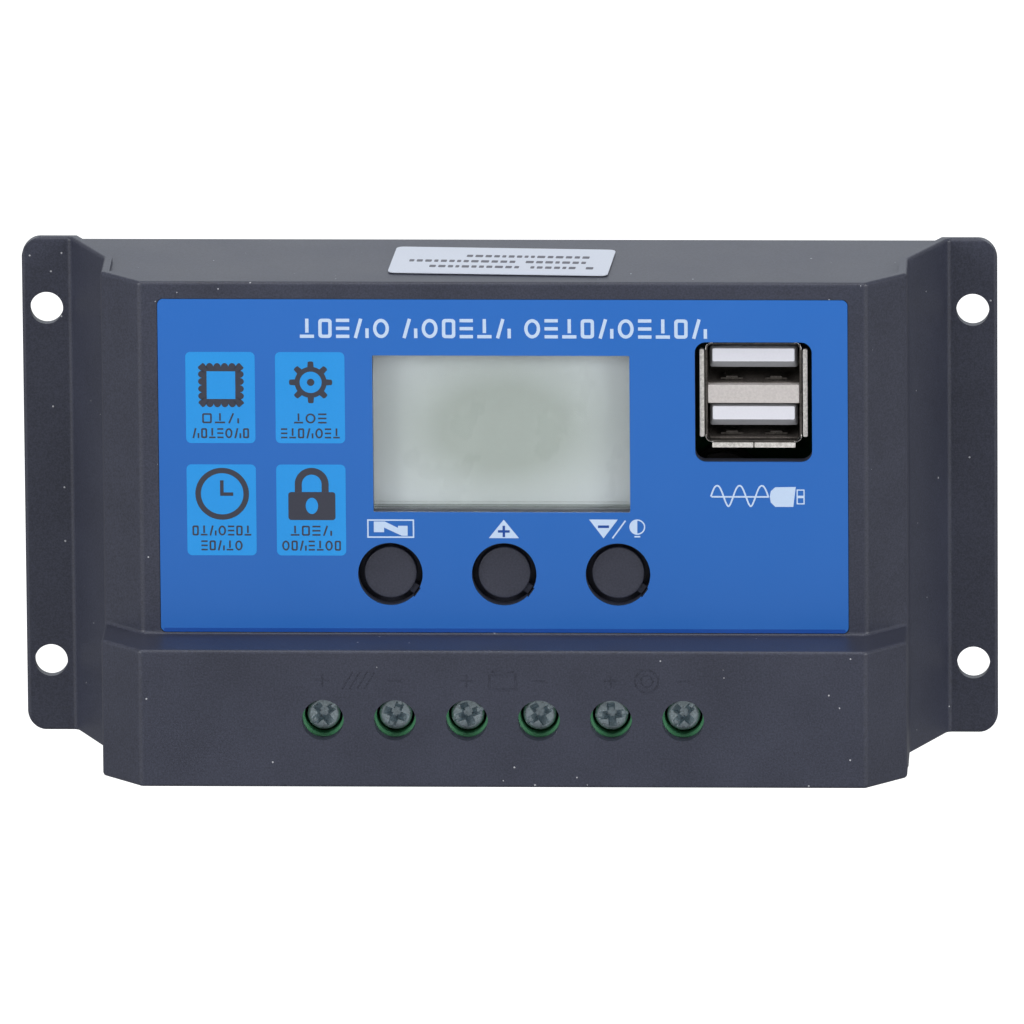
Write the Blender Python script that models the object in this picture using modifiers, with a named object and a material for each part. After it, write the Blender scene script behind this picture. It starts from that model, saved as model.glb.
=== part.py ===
"""Solar charge controller for wall mounting, as an assembly of separate pieces.

The finished model stands upright: +X is to the right, +Z is up, the front faces -Y, and the
origin is the centre of the face that lies against the wall.

Every piece is modelled in a face frame instead: x to the right, y up, z the depth out of the
wall. An empty called wall_frame turns that frame upright, and every piece is its child.
"""

import math

import bmesh
import bpy

MM = 0.001

# ---------------------------------------------------------------- driving dimensions
# Clearances
GAP = 0.3 * MM  # between pieces that touch or pass each other
OVERLAP = 0.3 * MM  # how far joined shapes run into each other
OVERCUT = 1.0 * MM  # how far a cutter runs past the wall it cuts
SMALL_EDGE = 0.3 * MM

# Moulded case
CASE_WIDTH = 133.5 * MM  # across the mounting ears
CASE_HEIGHT = 70.0 * MM  # height of the ears
BODY_WIDTH = 109.7 * MM  # across the upright side walls
BODY_DEPTH = 26.0 * MM  # wall to front face
COVER_RISE = 8.5 * MM  # terminal cover stands this far above the front face
COVER_HEIGHT = 19.3 * MM
WALL = 2.0 * MM
EAR_WIDTH = 6.75 * MM
EAR_THICKNESS = 1.5 * MM
EAR_CORNER = 3.0 * MM
SLOPE_TOP = 12.5 * MM  # depth at which the sloping sides turn upright
SIDE_CHAMFER = 5.5 * MM  # width and depth of the chamfer beside the front face
TOP_LIP = 0.6 * MM  # side skins stand above the top wall
BOTTOM_LIP = 1.2 * MM
LIP_THICKNESS = 1.2 * MM
CASE_EDGE = 0.4 * MM  # rounding of the outer edges

# Wall mounting holes
MOUNT_HOLE_RADIUS = 2.25 * MM
MOUNT_HOLE_SPACING_Y = 50.0 * MM
MOUNT_HOLE_EDGE = 3.35 * MM  # from the ear's outer edge to the hole's centre

# Front label and what shows through it
FILM = 0.3 * MM
LABEL_SIDE_BORDER = 2.5 * MM
LABEL_TOP_BORDER = 1.8 * MM
LABEL_CORNER = 1.8 * MM
WINDOW_FROM_LEFT = 29.25 * MM  # label's left edge to the window
WINDOW_TO_CUTOUT = 9.0 * MM
WINDOW_HEIGHT = 22.1 * MM
WINDOW_DROP = 7.8 * MM  # label's top edge to the window
WINDOW_RIM = 1.5 * MM
DISPLAY_DEPTH = 3.4 * MM  # front face to the display's glass

# Rating sticker on the top wall
STICKER_LENGTH = 30.0 * MM
STICKER_WIDTH = 14.0 * MM
STICKER_THICKNESS = 0.15 * MM
STICKER_DEPTH = 10.8 * MM
STICKER_SHIFT = -0.5 * MM
STICKER_TURN = math.radians(4)
STICKER_CORNER = 1.0 * MM

# Display module
GLASS_MARGIN = 0.9 * MM  # glass beyond the window on each side
GLASS_THICKNESS = 2.0 * MM
LIGHT_GUIDE_THICKNESS = 2.6 * MM
GUIDE_LEDGE = 1.5 * MM  # strip of the light guide that carries the header
FRAME_WALL = 1.2 * MM
FRAME_FLOOR = 1.0 * MM
FRAME_LIP = 0.3 * MM
FRAME_LEG = 2.4 * MM
HEADER_WIDTH = 2.5 * MM
HEADER_BAR = 2.6 * MM
PIN_PITCH = 2.54 * MM
PIN_WIDTH = 0.64 * MM
PIN_MARGIN = 5.0 * MM  # glass's end to the outermost pin

# Buttons and their switches
BUTTON_COUNT = 3
BUTTON_PITCH = 15.5 * MM
BUTTON_RISE = 8.2 * MM  # label's bottom edge to the buttons' axes
BUTTON_RADIUS = 3.6 * MM
BUTTON_GAP = 0.8 * MM
FLANGE_OVERLAP = 0.4 * MM  # how far the flange reaches past the hole's edge
BUTTON_SINK = 1.0 * MM  # cap's top below the front face
BUTTON_EDGE = 0.5 * MM
BUTTON_TRAVEL = 0.4 * MM
FLANGE_THICKNESS = 1.4 * MM
STEM_RADIUS = 1.75 * MM
STEM_LENGTH = 1.1 * MM
KEY_WIDTH = 1.3 * MM
KEY_REACH = 0.45 * MM  # how far the key enters its notch
KEY_ANGLE = math.radians(-45)
SWITCH_SIZE = 6.2 * MM
SWITCH_HEIGHT = 4.0 * MM
PLUNGER_RADIUS = 1.7 * MM
PLUNGER_SEAT = 2.3 * MM  # depth of the plunger inside the switch

# Twin USB socket, standing on the board
USB_WIDTH = 13.1 * MM
USB_HEIGHT = 14.0 * MM
USB_LENGTH = 16.6 * MM
USB_SINK = 0.8 * MM  # socket's mouth below the front face
USB_SHEET = 0.4 * MM
USB_CORNER = 0.4 * MM
USB_DIVIDER = 2.4 * MM
USB_BASE = 3.0 * MM
USB_TONGUE = 1.9 * MM
USB_CUTOUT_CORNER = 1.5 * MM
USB_TOP_GAP = 0.2 * MM
USB_BOTTOM_GAP = 2.6 * MM
USB_SIDE_GAP = 1.4 * MM
USB_DROP = 5.9 * MM  # label's top edge to the cut-out
USB_FROM_EDGE = 12.8 * MM  # label's right edge to the socket's axis

# Terminal block with rising clamps
POLES = 6
POLE_PITCH = 9.8 * MM
POLE_RISE = 9.5 * MM  # bottom of the case to the screws' axes
BLOCK_END = 0.5 * MM  # material beyond the last pole's half pitch
BLOCK_SINK = 0.3 * MM  # block's face above the bottom of the case
BLOCK_FLOOR = 1.5 * MM
COVER_HOLE_RADIUS = 2.85 * MM
WELL_RADIUS = 2.6 * MM
HEAD_RADIUS = 2.25 * MM
HEAD_HEIGHT = 2.3 * MM
HEAD_SINK = 0.7 * MM  # head's top below the block's top
HEAD_CHAMFER = 0.45 * MM
SHANK_RADIUS = 1.7 * MM
SLOT_WIDTH = 0.7 * MM
SLOT_DEPTH = 0.6 * MM
RECESS_WIDTH = 0.9 * MM
RECESS_LENGTH = 3.2 * MM
RECESS_DEPTH = 1.3 * MM
HEAD_TURNS = [math.radians(a) for a in (38, 68, 21, 33, 6, 48)]
CAGE_WIDTH = 6.6 * MM
CAGE_LENGTH = 6.0 * MM
CAGE_WALL = 1.0 * MM
CAGE_CROWN = 2.0 * MM  # threaded wall of the clamp
WIRE_SPACE = 4.7 * MM  # clear height for the wire when the clamp is open
CLAMP_TRAVEL = 3.5 * MM
BAR_THICKNESS = 1.0 * MM
BAR_WIDTH = 2.6 * MM
BAR_TAIL = 1.2 * MM  # tail beyond the back of the board
MOUTH_WIDTH = 6.0 * MM
MOUTH_HEIGHT = 5.4 * MM

# Circuit board
BOARD_THICKNESS = 1.6 * MM
BOARD_EDGE = 1.1 * MM  # board to the top and bottom walls
BOARD_SIDE_GAP = 5.85 * MM
BOARD_HOLE_EDGE_X = 2.6 * MM
BOARD_HOLE_EDGE_Y = 3.4 * MM
COLUMN_RADIUS = 2.8 * MM
BOARD_SCREW_RADIUS = 1.0 * MM
BOARD_SCREW_LENGTH = 9.0 * MM
BOARD_SCREW_HEAD = 2.2 * MM
BOARD_SCREW_HEAD_HEIGHT = 1.4 * MM
BOARD_SCREW_DOME = 0.5 * MM
BOARD_SCREW_POINT = 1.2 * MM

# Back cover
COVER_PLATE = 2.0 * MM
PLATE_CORNER = 1.0 * MM  # corners of the back cover and of the board
BACK_HOLE_FROM_SIDE = 3.85 * MM  # body's side to the screws' axes
BACK_HOLE_SPACING_Y = 52.0 * MM
BACK_COLUMN_TOP = 19.0 * MM
BACK_SCREW_RADIUS = 1.2 * MM
BACK_SCREW_HEAD = 2.6 * MM
BACK_SCREW_LENGTH = 11.0 * MM
BACK_SCREW_POINT = 1.5 * MM
BACK_SCREW_SINK = 0.15 * MM
BACK_RECESS_LENGTH = 2.4 * MM
BACK_RECESS_WIDTH = 0.6 * MM
BACK_RECESS_DEPTH = 0.8 * MM
VENT_COUNT = 5
VENT_PITCH = 6.5 * MM
VENT_LENGTH = 16.0 * MM
VENT_WIDTH = 2.0 * MM
VENT_FROM_CENTRE = 12.0 * MM

# Power parts on the board
TRANSISTOR_COUNT = 3
TRANSISTOR_PITCH = 12.0 * MM
TRANSISTOR_SIZE = (10.0 * MM, 9.0 * MM, 4.4 * MM)
TRANSISTOR_TAB = 1.3 * MM
TRANSISTOR_LEAD = 1.2 * MM
POWER_FROM_EDGE = 10.0 * MM  # board's left edge to the transistors' middle
POWER_Y = 7.0 * MM
PAD_THICKNESS = 0.5 * MM
SINK_WIDTH = 14.0 * MM
SINK_LENGTH = 34.0 * MM
SINK_BASE = 2.0 * MM
SINK_FIN = 1.2 * MM
SINK_FINS = 4
SINK_HEIGHT = 7.0 * MM
CAPACITOR_RADIUS = 4.0 * MM
CAPACITOR_HEIGHT = 11.5 * MM
CAPACITOR_EDGE = 0.4 * MM
CAPACITOR_CRIMP = (2.2 * MM, 1.7 * MM, 1.2 * MM)  # heights of the groove's edges and floor
CAPACITOR_PLACES = [(8.0 * MM, -8.5 * MM), (8.0 * MM, 0.8 * MM)]  # from the board's right edge
INDUCTOR_PLACE = (17.5 * MM, 3.5 * MM)
INDUCTOR_RADIUS = 4.6 * MM
INDUCTOR_HEIGHT = 5.4 * MM
INDUCTOR_WAIST = 3.7 * MM
INDUCTOR_BRIM = 1.2 * MM
CHIP_EDGE = 0.2 * MM
CHIP_PLACES = [(43.0 * MM, 14.0 * MM), (16.0 * MM, -9.0 * MM)]
CHIP_SIZES = [(10.0 * MM, 10.0 * MM, 1.6 * MM), (4.0 * MM, 5.0 * MM, 1.5 * MM)]

# ---------------------------------------------------------------- derived places
EAR_HALF = CASE_WIDTH / 2
FOOT_X = EAR_HALF - EAR_WIDTH
SIDE_X = BODY_WIDTH / 2
FRONT_X = SIDE_X - SIDE_CHAMFER
TOP_Y = CASE_HEIGHT / 2 - TOP_LIP
BOTTOM_Y = BOTTOM_LIP - CASE_HEIGHT / 2
STEP_Y = BOTTOM_Y + COVER_HEIGHT
COVER_DEPTH = BODY_DEPTH + COVER_RISE
INNER_FRONT = BODY_DEPTH - WALL
INNER_COVER = COVER_DEPTH - WALL
LEDGE = BODY_DEPTH - FILM - GAP  # floor of the label's recess

LABEL_X = FRONT_X - LABEL_SIDE_BORDER
LABEL_TOP = TOP_Y - LABEL_TOP_BORDER
LABEL_BOTTOM = STEP_Y + GAP

USB_X = LABEL_X - USB_FROM_EDGE
CUTOUT_WIDTH = USB_WIDTH + 2 * USB_SIDE_GAP
CUTOUT_TOP = LABEL_TOP - USB_DROP
CUTOUT_BOTTOM = CUTOUT_TOP - USB_TOP_GAP - USB_HEIGHT - USB_BOTTOM_GAP
USB_TOP = CUTOUT_TOP - USB_TOP_GAP
USB_MOUTH = BODY_DEPTH - USB_SINK

WINDOW_LEFT = WINDOW_FROM_LEFT - LABEL_X
WINDOW_RIGHT = USB_X - CUTOUT_WIDTH / 2 - WINDOW_TO_CUTOUT
WINDOW_TOP = LABEL_TOP - WINDOW_DROP
WINDOW_BOTTOM = WINDOW_TOP - WINDOW_HEIGHT

BUTTON_HOLE_RADIUS = BUTTON_RADIUS + BUTTON_GAP
FLANGE_RADIUS = BUTTON_HOLE_RADIUS + FLANGE_OVERLAP
BUTTON_Y = LABEL_BOTTOM + BUTTON_RISE
BUTTON_SIDES = ["left", "middle", "right"]
BUTTON_X = [(n - (BUTTON_COUNT - 1) / 2) * BUTTON_PITCH for n in range(BUTTON_COUNT)]

BOARD_FRONT = USB_MOUTH - USB_LENGTH - GAP  # the socket's length sets the board's place
BOARD_BACK = BOARD_FRONT - BOARD_THICKNESS
BOARD_X = SIDE_X - WALL - BOARD_SIDE_GAP
POWER_X = POWER_FROM_EDGE - BOARD_X
BOARD_TOP = TOP_Y - WALL - BOARD_EDGE
BOARD_BOTTOM = BOTTOM_Y + WALL + BOARD_EDGE
ON_BOARD = BOARD_FRONT + GAP

POLE_X = [(n - (POLES - 1) / 2) * POLE_PITCH for n in range(POLES)]
POLE_Y = BOTTOM_Y + POLE_RISE
BLOCK_X = POLES * POLE_PITCH / 2 + BLOCK_END
BLOCK_FACE = BOTTOM_Y + BLOCK_SINK
BLOCK_REAR = STEP_Y - WALL - GAP
BLOCK_TOP = INNER_COVER - 2 * GAP
CHAMBER_LOW = ON_BOARD + BLOCK_FLOOR
CAGE_LOW = CHAMBER_LOW + GAP
BAR_LOW = CAGE_LOW + CAGE_WALL + WIRE_SPACE
BAR_HIGH = BAR_LOW + BAR_THICKNESS
CROWN_LOW = BAR_HIGH + GAP
CAGE_HIGH = CROWN_LOW + CAGE_CROWN
CHAMBER_HIGH = CAGE_HIGH + CLAMP_TRAVEL + 2 * GAP
HEAD_TOP = BLOCK_TOP - HEAD_SINK
HEAD_LOW = HEAD_TOP - HEAD_HEIGHT
CHAMBER_HALF = CAGE_WIDTH / 2 + GAP
CHAMBER_REAR = POLE_Y + CAGE_LENGTH / 2 + GAP
CHAMBER_FRONT = POLE_Y - CAGE_LENGTH / 2 - GAP
TAIL_Y = CHAMBER_REAR + BAR_THICKNESS

BOARD_HOLES = [
    (side * (BOARD_X - BOARD_HOLE_EDGE_X), y)
    for y in (BOARD_TOP - BOARD_HOLE_EDGE_Y, BOARD_BOTTOM + BOARD_HOLE_EDGE_Y)
    for side in (-1, 1)
]
BACK_HOLES = [
    (side * (SIDE_X - BACK_HOLE_FROM_SIDE), y * BACK_HOLE_SPACING_Y / 2)
    for y in (1, -1)
    for side in (-1, 1)
]
MOUNT_HOLES = [
    (side * (EAR_HALF - MOUNT_HOLE_EDGE), y * MOUNT_HOLE_SPACING_Y / 2)
    for y in (1, -1)
    for side in (-1, 1)
]


# ---------------------------------------------------------------- scene and collections
for old in list(bpy.data.objects):
    bpy.data.objects.remove(old)


def new_collection(name):
    collection = bpy.data.collections.new(name)
    bpy.context.scene.collection.children.link(collection)
    return collection


PARTS = new_collection("charge_controller")
CUTTERS = new_collection("cutters")

wall_frame = bpy.data.objects.new("wall_frame", None)
wall_frame.rotation_euler = (math.radians(90), 0, 0)
PARTS.objects.link(wall_frame)


def place(name, data, location=(0, 0, 0), rotation=(0, 0, 0), collection=PARTS):
    """Make an object in the face frame."""
    item = bpy.data.objects.new(name, data)
    item.parent = wall_frame
    item.location = location
    item.rotation_euler = rotation
    collection.objects.link(item)
    if collection is CUTTERS:
        item.hide_render = True
        item.display_type = "WIRE"
    return item


def finish(item, colour, roughness=0.5, metallic=0.0, alpha=1.0):
    """Give a piece its own Principled material."""
    material = bpy.data.materials.new(item.name)
    material.use_nodes = True
    shader = material.node_tree.nodes["Principled BSDF"]
    shader.inputs["Base Color"].default_value = (*colour, 1)
    shader.inputs["Roughness"].default_value = roughness
    shader.inputs["Metallic"].default_value = metallic
    shader.inputs["Alpha"].default_value = alpha
    item.data.materials.append(material)
    return item


# ---------------------------------------------------------------- outlines
def circle(x, y, radius, sides=24):
    """Points of a circle whose flats, not its corners, lie on the radius."""
    corner = radius / math.cos(math.pi / sides)
    angles = [2 * math.pi * n / sides for n in range(sides)]
    return [(x + corner * math.cos(a), y + corner * math.sin(a)) for a in angles]


def rectangle(x0, x1, y0, y1):
    return [(x0, y0), (x1, y0), (x1, y1), (x0, y1)]


def rounded(x0, x1, y0, y1, radius, steps=4):
    """Rectangle with round corners."""
    corners = [(x1 - radius, y0 + radius, -90), (x1 - radius, y1 - radius, 0),
               (x0 + radius, y1 - radius, 90), (x0 + radius, y0 + radius, 180)]
    points = []
    for cx, cy, start in corners:
        for n in range(steps + 1):
            a = math.radians(start + 90 * n / steps)
            points.append((cx + radius * math.cos(a), cy + radius * math.sin(a)))
    return points


def comb(width, base_low, base_high, tooth_end, tooth, count):
    """Bar with equally spaced teeth that run from it to tooth_end."""
    near, far = (base_high, base_low) if tooth_end > base_high else (base_low, base_high)
    step = (width - tooth) / (count - 1)
    points = [(-width / 2, far)]
    for n in range(count):
        left = -width / 2 + n * step
        if n:
            points.append((left, near))
        points += [(left, tooth_end), (left + tooth, tooth_end)]
        if n < count - 1:
            points.append((left + tooth, near))
    return points + [(width / 2, far)]


def inset(chain, distance):
    """Move an open chain of points sideways by a distance, keeping its corners mitred."""
    moved = []
    for n, (x, y) in enumerate(chain):
        normals = []
        for p, q in ((n - 1, n), (n, n + 1)):
            if p >= 0 and q < len(chain):
                dx, dy = chain[q][0] - chain[p][0], chain[q][1] - chain[p][1]
                length = math.hypot(dx, dy)
                normals.append((-dy / length, dx / length))
        nx = sum(v[0] for v in normals) / len(normals)
        ny = sum(v[1] for v in normals) / len(normals)
        scale = distance / (nx * nx + ny * ny)
        moved.append((x + nx * scale, y + ny * scale))
    return moved


def mirrored(half):
    """Close a half outline, given from its outer foot to its crown, about x = 0."""
    return half + [(-x, y) for x, y in reversed(half)]


def skin_chain(depth):
    """Right-hand skin of the case, from the ear's crease to the front at this depth."""
    return [
        (FOOT_X, EAR_THICKNESS),
        (SIDE_X, SLOPE_TOP),
        (SIDE_X, depth - SIDE_CHAMFER),
        (FRONT_X, depth),
    ]


def point_at_depth(a, b, depth):
    """Point of the line through a and b at a depth."""
    share = (depth - a[1]) / (b[1] - a[1])
    return (a[0] + (b[0] - a[0]) * share, depth)


def inner_outline(depth, thickness, low, high):
    """Section inside the skin, this much thinner than it, between two depths."""
    chain = inset(skin_chain(depth), thickness)
    foot = point_at_depth(chain[0], chain[1], low)
    crown = point_at_depth(chain[2], chain[3], high)
    return mirrored([foot, chain[1], chain[2], crown])


# ---------------------------------------------------------------- solids
AXES = {
    "depth": (0, 0, 0),
    "up": (math.radians(90), 0, 0),
    "side": (math.radians(90), 0, math.radians(90)),
}


def slab(name, outlines, low, high, along="depth", collection=PARTS):
    """Filled flat curve, drawn out from low to high along one axis of the face frame.

    Outlines are (x, y) along the depth, (x, depth) up, and (y, depth) along the side.
    """
    curve = bpy.data.curves.new(name, "CURVE")
    curve.dimensions = "2D"
    curve.fill_mode = "BOTH"
    curve.extrude = (high - low) / 2
    for outline in outlines:
        spline = curve.splines.new("POLY")
        spline.points.add(len(outline) - 1)
        for point, (x, y) in zip(spline.points, outline):
            point.co = (x, y, 0, 1)
        spline.use_cyclic_u = True
    middle = (low + high) / 2
    location = {"depth": (0, 0, middle), "up": (0, middle, 0), "side": (middle, 0, 0)}[along]
    return place(name, curve, location, AXES[along], collection)


def solid(name, outlines, low, high, along="depth", collection=PARTS):
    """The same as a slab, but made a welded mesh that Booleans and bevels can use."""
    flat = slab(name, outlines, low, high, along, collection)
    bpy.context.view_layer.update()
    evaluated = flat.evaluated_get(bpy.context.evaluated_depsgraph_get())
    mesh = bpy.data.meshes.new_from_object(evaluated)
    location, rotation = flat.location.copy(), flat.rotation_euler.copy()
    bpy.data.objects.remove(flat)
    edit = bmesh.new()
    edit.from_mesh(mesh)
    bmesh.ops.remove_doubles(edit, verts=edit.verts, dist=1e-6)
    flat_angle = math.radians(0.5)
    bmesh.ops.dissolve_limit(edit, angle_limit=flat_angle, verts=edit.verts, edges=edit.edges)
    edit.to_mesh(mesh)
    edit.free()
    return place(name, mesh, location, rotation, collection)


def boxes(name, spans, collection=PARTS):
    """One or more boxes in one mesh, each from its low corner to its high corner."""
    edit = bmesh.new()
    for low, high in spans:
        made = bmesh.ops.create_cube(edit, size=1)["verts"]
        size = [b - a for a, b in zip(low, high)]
        middle = [(a + b) / 2 for a, b in zip(low, high)]
        bmesh.ops.scale(edit, vec=size, verts=made)
        bmesh.ops.translate(edit, vec=middle, verts=made)
    mesh = bpy.data.meshes.new(name)
    edit.to_mesh(mesh)
    edit.free()
    return place(name, mesh, collection=collection)


def cones(name, places, low_radius, high_radius, low, high, sides=24, collection=CUTTERS):
    """One or more cones or cylinders along the depth, in one mesh."""
    edit = bmesh.new()
    for x, y in places:
        made = bmesh.ops.create_cone(
            edit, cap_ends=True, segments=sides, radius1=low_radius, radius2=high_radius,
            depth=high - low,
        )["verts"]
        bmesh.ops.translate(edit, vec=(x, y, (low + high) / 2), verts=made)
    mesh = bpy.data.meshes.new(name)
    edit.to_mesh(mesh)
    edit.free()
    return place(name, mesh, collection=collection)


def turned(name, profile, location, sides=24, collection=PARTS):
    """Turned piece: (radius, height) points from the top down, on an axis along the depth."""
    mesh = bpy.data.meshes.new(name)
    edges = [(n, n + 1) for n in range(len(profile) - 1)]
    mesh.from_pydata([(r, 0, z) for r, z in profile], edges, [])
    item = place(name, mesh, location, collection=collection)
    screw = item.modifiers.new("turn", "SCREW")
    screw.axis = "Z"
    screw.angle = 2 * math.pi
    screw.steps = screw.render_steps = sides
    screw.use_merge_vertices = True
    screw.merge_threshold = 1e-6
    return item


def combine(item, operand, operation):
    """Boolean modifier: DIFFERENCE, UNION or INTERSECT with the operand."""
    boolean = item.modifiers.new(operand.name, "BOOLEAN")
    boolean.object = operand
    boolean.operation = operation
    boolean.solver = "EXACT"
    return item


def cut(item, *cutters):
    for cutter in cutters:
        combine(item, cutter, "DIFFERENCE")
    return item


def bevel(item, width, segments=1, angle=35):
    edge = item.modifiers.new("edges", "BEVEL")
    edge.width = width
    edge.segments = segments
    edge.limit_method = "ANGLE"
    edge.angle_limit = math.radians(angle)
    return item


def baked(item):
    """Settle a piece's modifiers into its mesh, so that copies can share it."""
    bpy.context.view_layer.update()
    evaluated = item.evaluated_get(bpy.context.evaluated_depsgraph_get())
    mesh = bpy.data.meshes.new_from_object(evaluated)
    item.modifiers.clear()
    item.data = mesh
    return item


def cross_recess(item, length, width, low, high):
    """Cut a cross recess between two depths into a screw that stands on the origin."""
    for name, a, b in (("across", length / 2, width / 2), ("along", width / 2, length / 2)):
        span = ((-a, -b, low), (a, b, high))
        cut(item, boxes(f"{item.name}_{name}", [span], CUTTERS))
    return item


def copies(item, names, places, turns=None):
    """Put the first piece at the first place, and a copy of it at each other place."""
    turns = turns or [0] * len(names)
    for n, (name, where, turn) in enumerate(zip(names, places, turns)):
        copy = item if n == 0 else place(name, item.data)
        copy.name = name
        copy.location = where
        copy.rotation_euler = (0, 0, turn)


def cutter(name, outlines, low, high, along="depth"):
    return solid(name, outlines, low, high, along, CUTTERS)


# ---------------------------------------------------------------- case
BLACK = (0.06, 0.06, 0.07)
SEAT = COVER_PLATE + GAP  # depth of the back cover's seat
CAVITY_CHAIN = inset(skin_chain(BODY_DEPTH), WALL)
SEAT_X = point_at_depth(CAVITY_CHAIN[0], CAVITY_CHAIN[1], SEAT)[0]


def case_blank():
    """Outside of the case: ears, sloping sides, front face and raised terminal cover."""
    half = [(EAR_HALF, 0), (EAR_HALF, EAR_THICKNESS)] + skin_chain(BODY_DEPTH)
    blank = solid("front_shell", [mirrored(half)], -CASE_HEIGHT / 2, CASE_HEIGHT / 2, "up")
    plan = rounded(-EAR_HALF, EAR_HALF, -CASE_HEIGHT / 2, CASE_HEIGHT / 2, EAR_CORNER)
    combine(blank, cutter("ear_plan", [plan], -OVERCUT, COVER_DEPTH + OVERCUT), "INTERSECT")
    hood = mirrored([(SIDE_X, SLOPE_TOP + OVERCUT)] + skin_chain(COVER_DEPTH)[2:])
    combine(blank, cutter("cover_blank", [hood], BOTTOM_Y, STEP_Y, "up"), "UNION")
    bevel(blank, CASE_EDGE, 2)
    for name, low, high in (
        ("top_recess", TOP_Y, CASE_HEIGHT / 2 + OVERCUT),
        ("bottom_recess", -CASE_HEIGHT / 2 - OVERCUT, BOTTOM_Y),
    ):
        deep = inner_outline(BODY_DEPTH, LIP_THICKNESS, -OVERCUT, BODY_DEPTH + OVERCUT)
        cut(blank, cutter(name, [deep], low, high, "up"))
    return blank


def hollow_case(shell):
    """Cavity with a straight seat for the back cover, and the room under the cover."""
    chain = CAVITY_CHAIN
    crown = point_at_depth(chain[2], chain[3], INNER_FRONT)
    half = [(SEAT_X, -OVERCUT), (SEAT_X, SEAT), chain[1], chain[2], crown]
    low, high = BOTTOM_Y + WALL, TOP_Y - WALL
    cut(shell, cutter("cavity", [mirrored(half)], low, high, "up"))
    hood = inner_outline(COVER_DEPTH, WALL, SLOPE_TOP + OVERCUT, INNER_COVER)
    cut(shell, cutter("cover_cavity", [hood], low, STEP_Y - WALL, "up"))


def add_columns(shell):
    """Screw columns for the board and the back cover, and a rim behind the window."""
    upper = [p for p in BOARD_HOLES if p[1] > 0]
    lower = [p for p in BOARD_HOLES if p[1] < 0]
    for name, places, low, high in (
        ("upper_columns", upper, ON_BOARD, INNER_FRONT + OVERLAP),
        ("lower_columns", lower, ON_BOARD, INNER_COVER + OVERLAP),
        ("back_columns", BACK_HOLES, SEAT, BACK_COLUMN_TOP),
    ):
        rings = [circle(x, y, COLUMN_RADIUS, 16) for x, y in places]
        combine(shell, cutter(name, rings, low, high), "UNION")
    rim = rounded(WINDOW_LEFT - WINDOW_RIM, WINDOW_RIGHT + WINDOW_RIM,
                  WINDOW_BOTTOM - WINDOW_RIM, WINDOW_TOP + WINDOW_RIM, WINDOW_RIM)
    rim_low = BODY_DEPTH - DISPLAY_DEPTH + FRAME_LIP + GAP
    combine(shell, cutter("window_rim", [rim], rim_low, INNER_FRONT + OVERLAP), "UNION")


def label_outline(margin=0.0):
    return rounded(-LABEL_X - margin, LABEL_X + margin, LABEL_BOTTOM - margin,
                   LABEL_TOP + margin, LABEL_CORNER + margin)


def window_outline(margin=0.0):
    return rectangle(WINDOW_LEFT - margin, WINDOW_RIGHT + margin,
                     WINDOW_BOTTOM - margin, WINDOW_TOP + margin)


def usb_outline():
    return rounded(USB_X - CUTOUT_WIDTH / 2, USB_X + CUTOUT_WIDTH / 2,
                   CUTOUT_BOTTOM, CUTOUT_TOP, USB_CUTOUT_CORNER)


def face_holes():
    """Openings of the front face, which the label repeats."""
    return [window_outline(), usb_outline()] + [
        circle(x, BUTTON_Y, BUTTON_HOLE_RADIUS) for x in BUTTON_X
    ]


def key_box(x, reach, half_width, low, high):
    """Upright bar from a button's axis outwards, in the direction of its key."""
    c, s = math.cos(KEY_ANGLE), math.sin(KEY_ANGLE)
    corners = [(0, -half_width), (reach, -half_width), (reach, half_width), (0, half_width)]
    return [(x + u * c - v * s, BUTTON_Y + u * s + v * c) for u, v in corners], low, high


def open_case(shell):
    """Openings of the front, the cover, the ears, the columns and the bottom wall."""
    beyond = COVER_DEPTH + OVERCUT
    front = BODY_DEPTH + OVERCUT
    behind = INNER_FRONT - WALL
    recess = label_outline(GAP)
    cut(shell, cutter("label_recess", [recess], LEDGE, front))
    cut(shell, cutter("face_openings", face_holes(), behind, front))
    notch_reach = BUTTON_HOLE_RADIUS + KEY_REACH + GAP
    for n, x in enumerate(BUTTON_X):
        outline, low, high = key_box(x, notch_reach, KEY_WIDTH / 2 + GAP, behind, LEDGE + GAP)
        cut(shell, cutter(f"key_notch_{n + 1}", [outline], low, high))
    drivers = [circle(x, POLE_Y, COVER_HOLE_RADIUS) for x in POLE_X]
    cut(shell, cutter("driver_holes", drivers, INNER_COVER - OVERCUT, beyond))
    ears = [circle(x, y, MOUNT_HOLE_RADIUS) for x, y in MOUNT_HOLES]
    cut(shell, cutter("ear_holes", ears, -OVERCUT, EAR_THICKNESS + OVERCUT))
    board = [circle(x, y, BOARD_SCREW_RADIUS + GAP, 12) for x, y in BOARD_HOLES]
    board_end = BOARD_BACK + BOARD_SCREW_LENGTH + OVERCUT
    cut(shell, cutter("board_pilots", board, BOARD_BACK, board_end))
    back = [circle(x, y, BACK_SCREW_RADIUS + GAP, 12) for x, y in BACK_HOLES]
    cut(shell, cutter("back_pilots", back, 0, BACK_SCREW_LENGTH + OVERCUT))
    slot = ((-BLOCK_X - GAP, -CASE_HEIGHT / 2 - OVERCUT, BOARD_FRONT),
            (BLOCK_X + GAP, BOTTOM_Y + WALL + OVERCUT, BLOCK_TOP + GAP))
    cut(shell, boxes("terminal_slot", [slot], CUTTERS))


def front_shell():
    shell = case_blank()
    hollow_case(shell)
    add_columns(shell)
    open_case(shell)
    return finish(shell, BLACK, 0.55)


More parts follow.
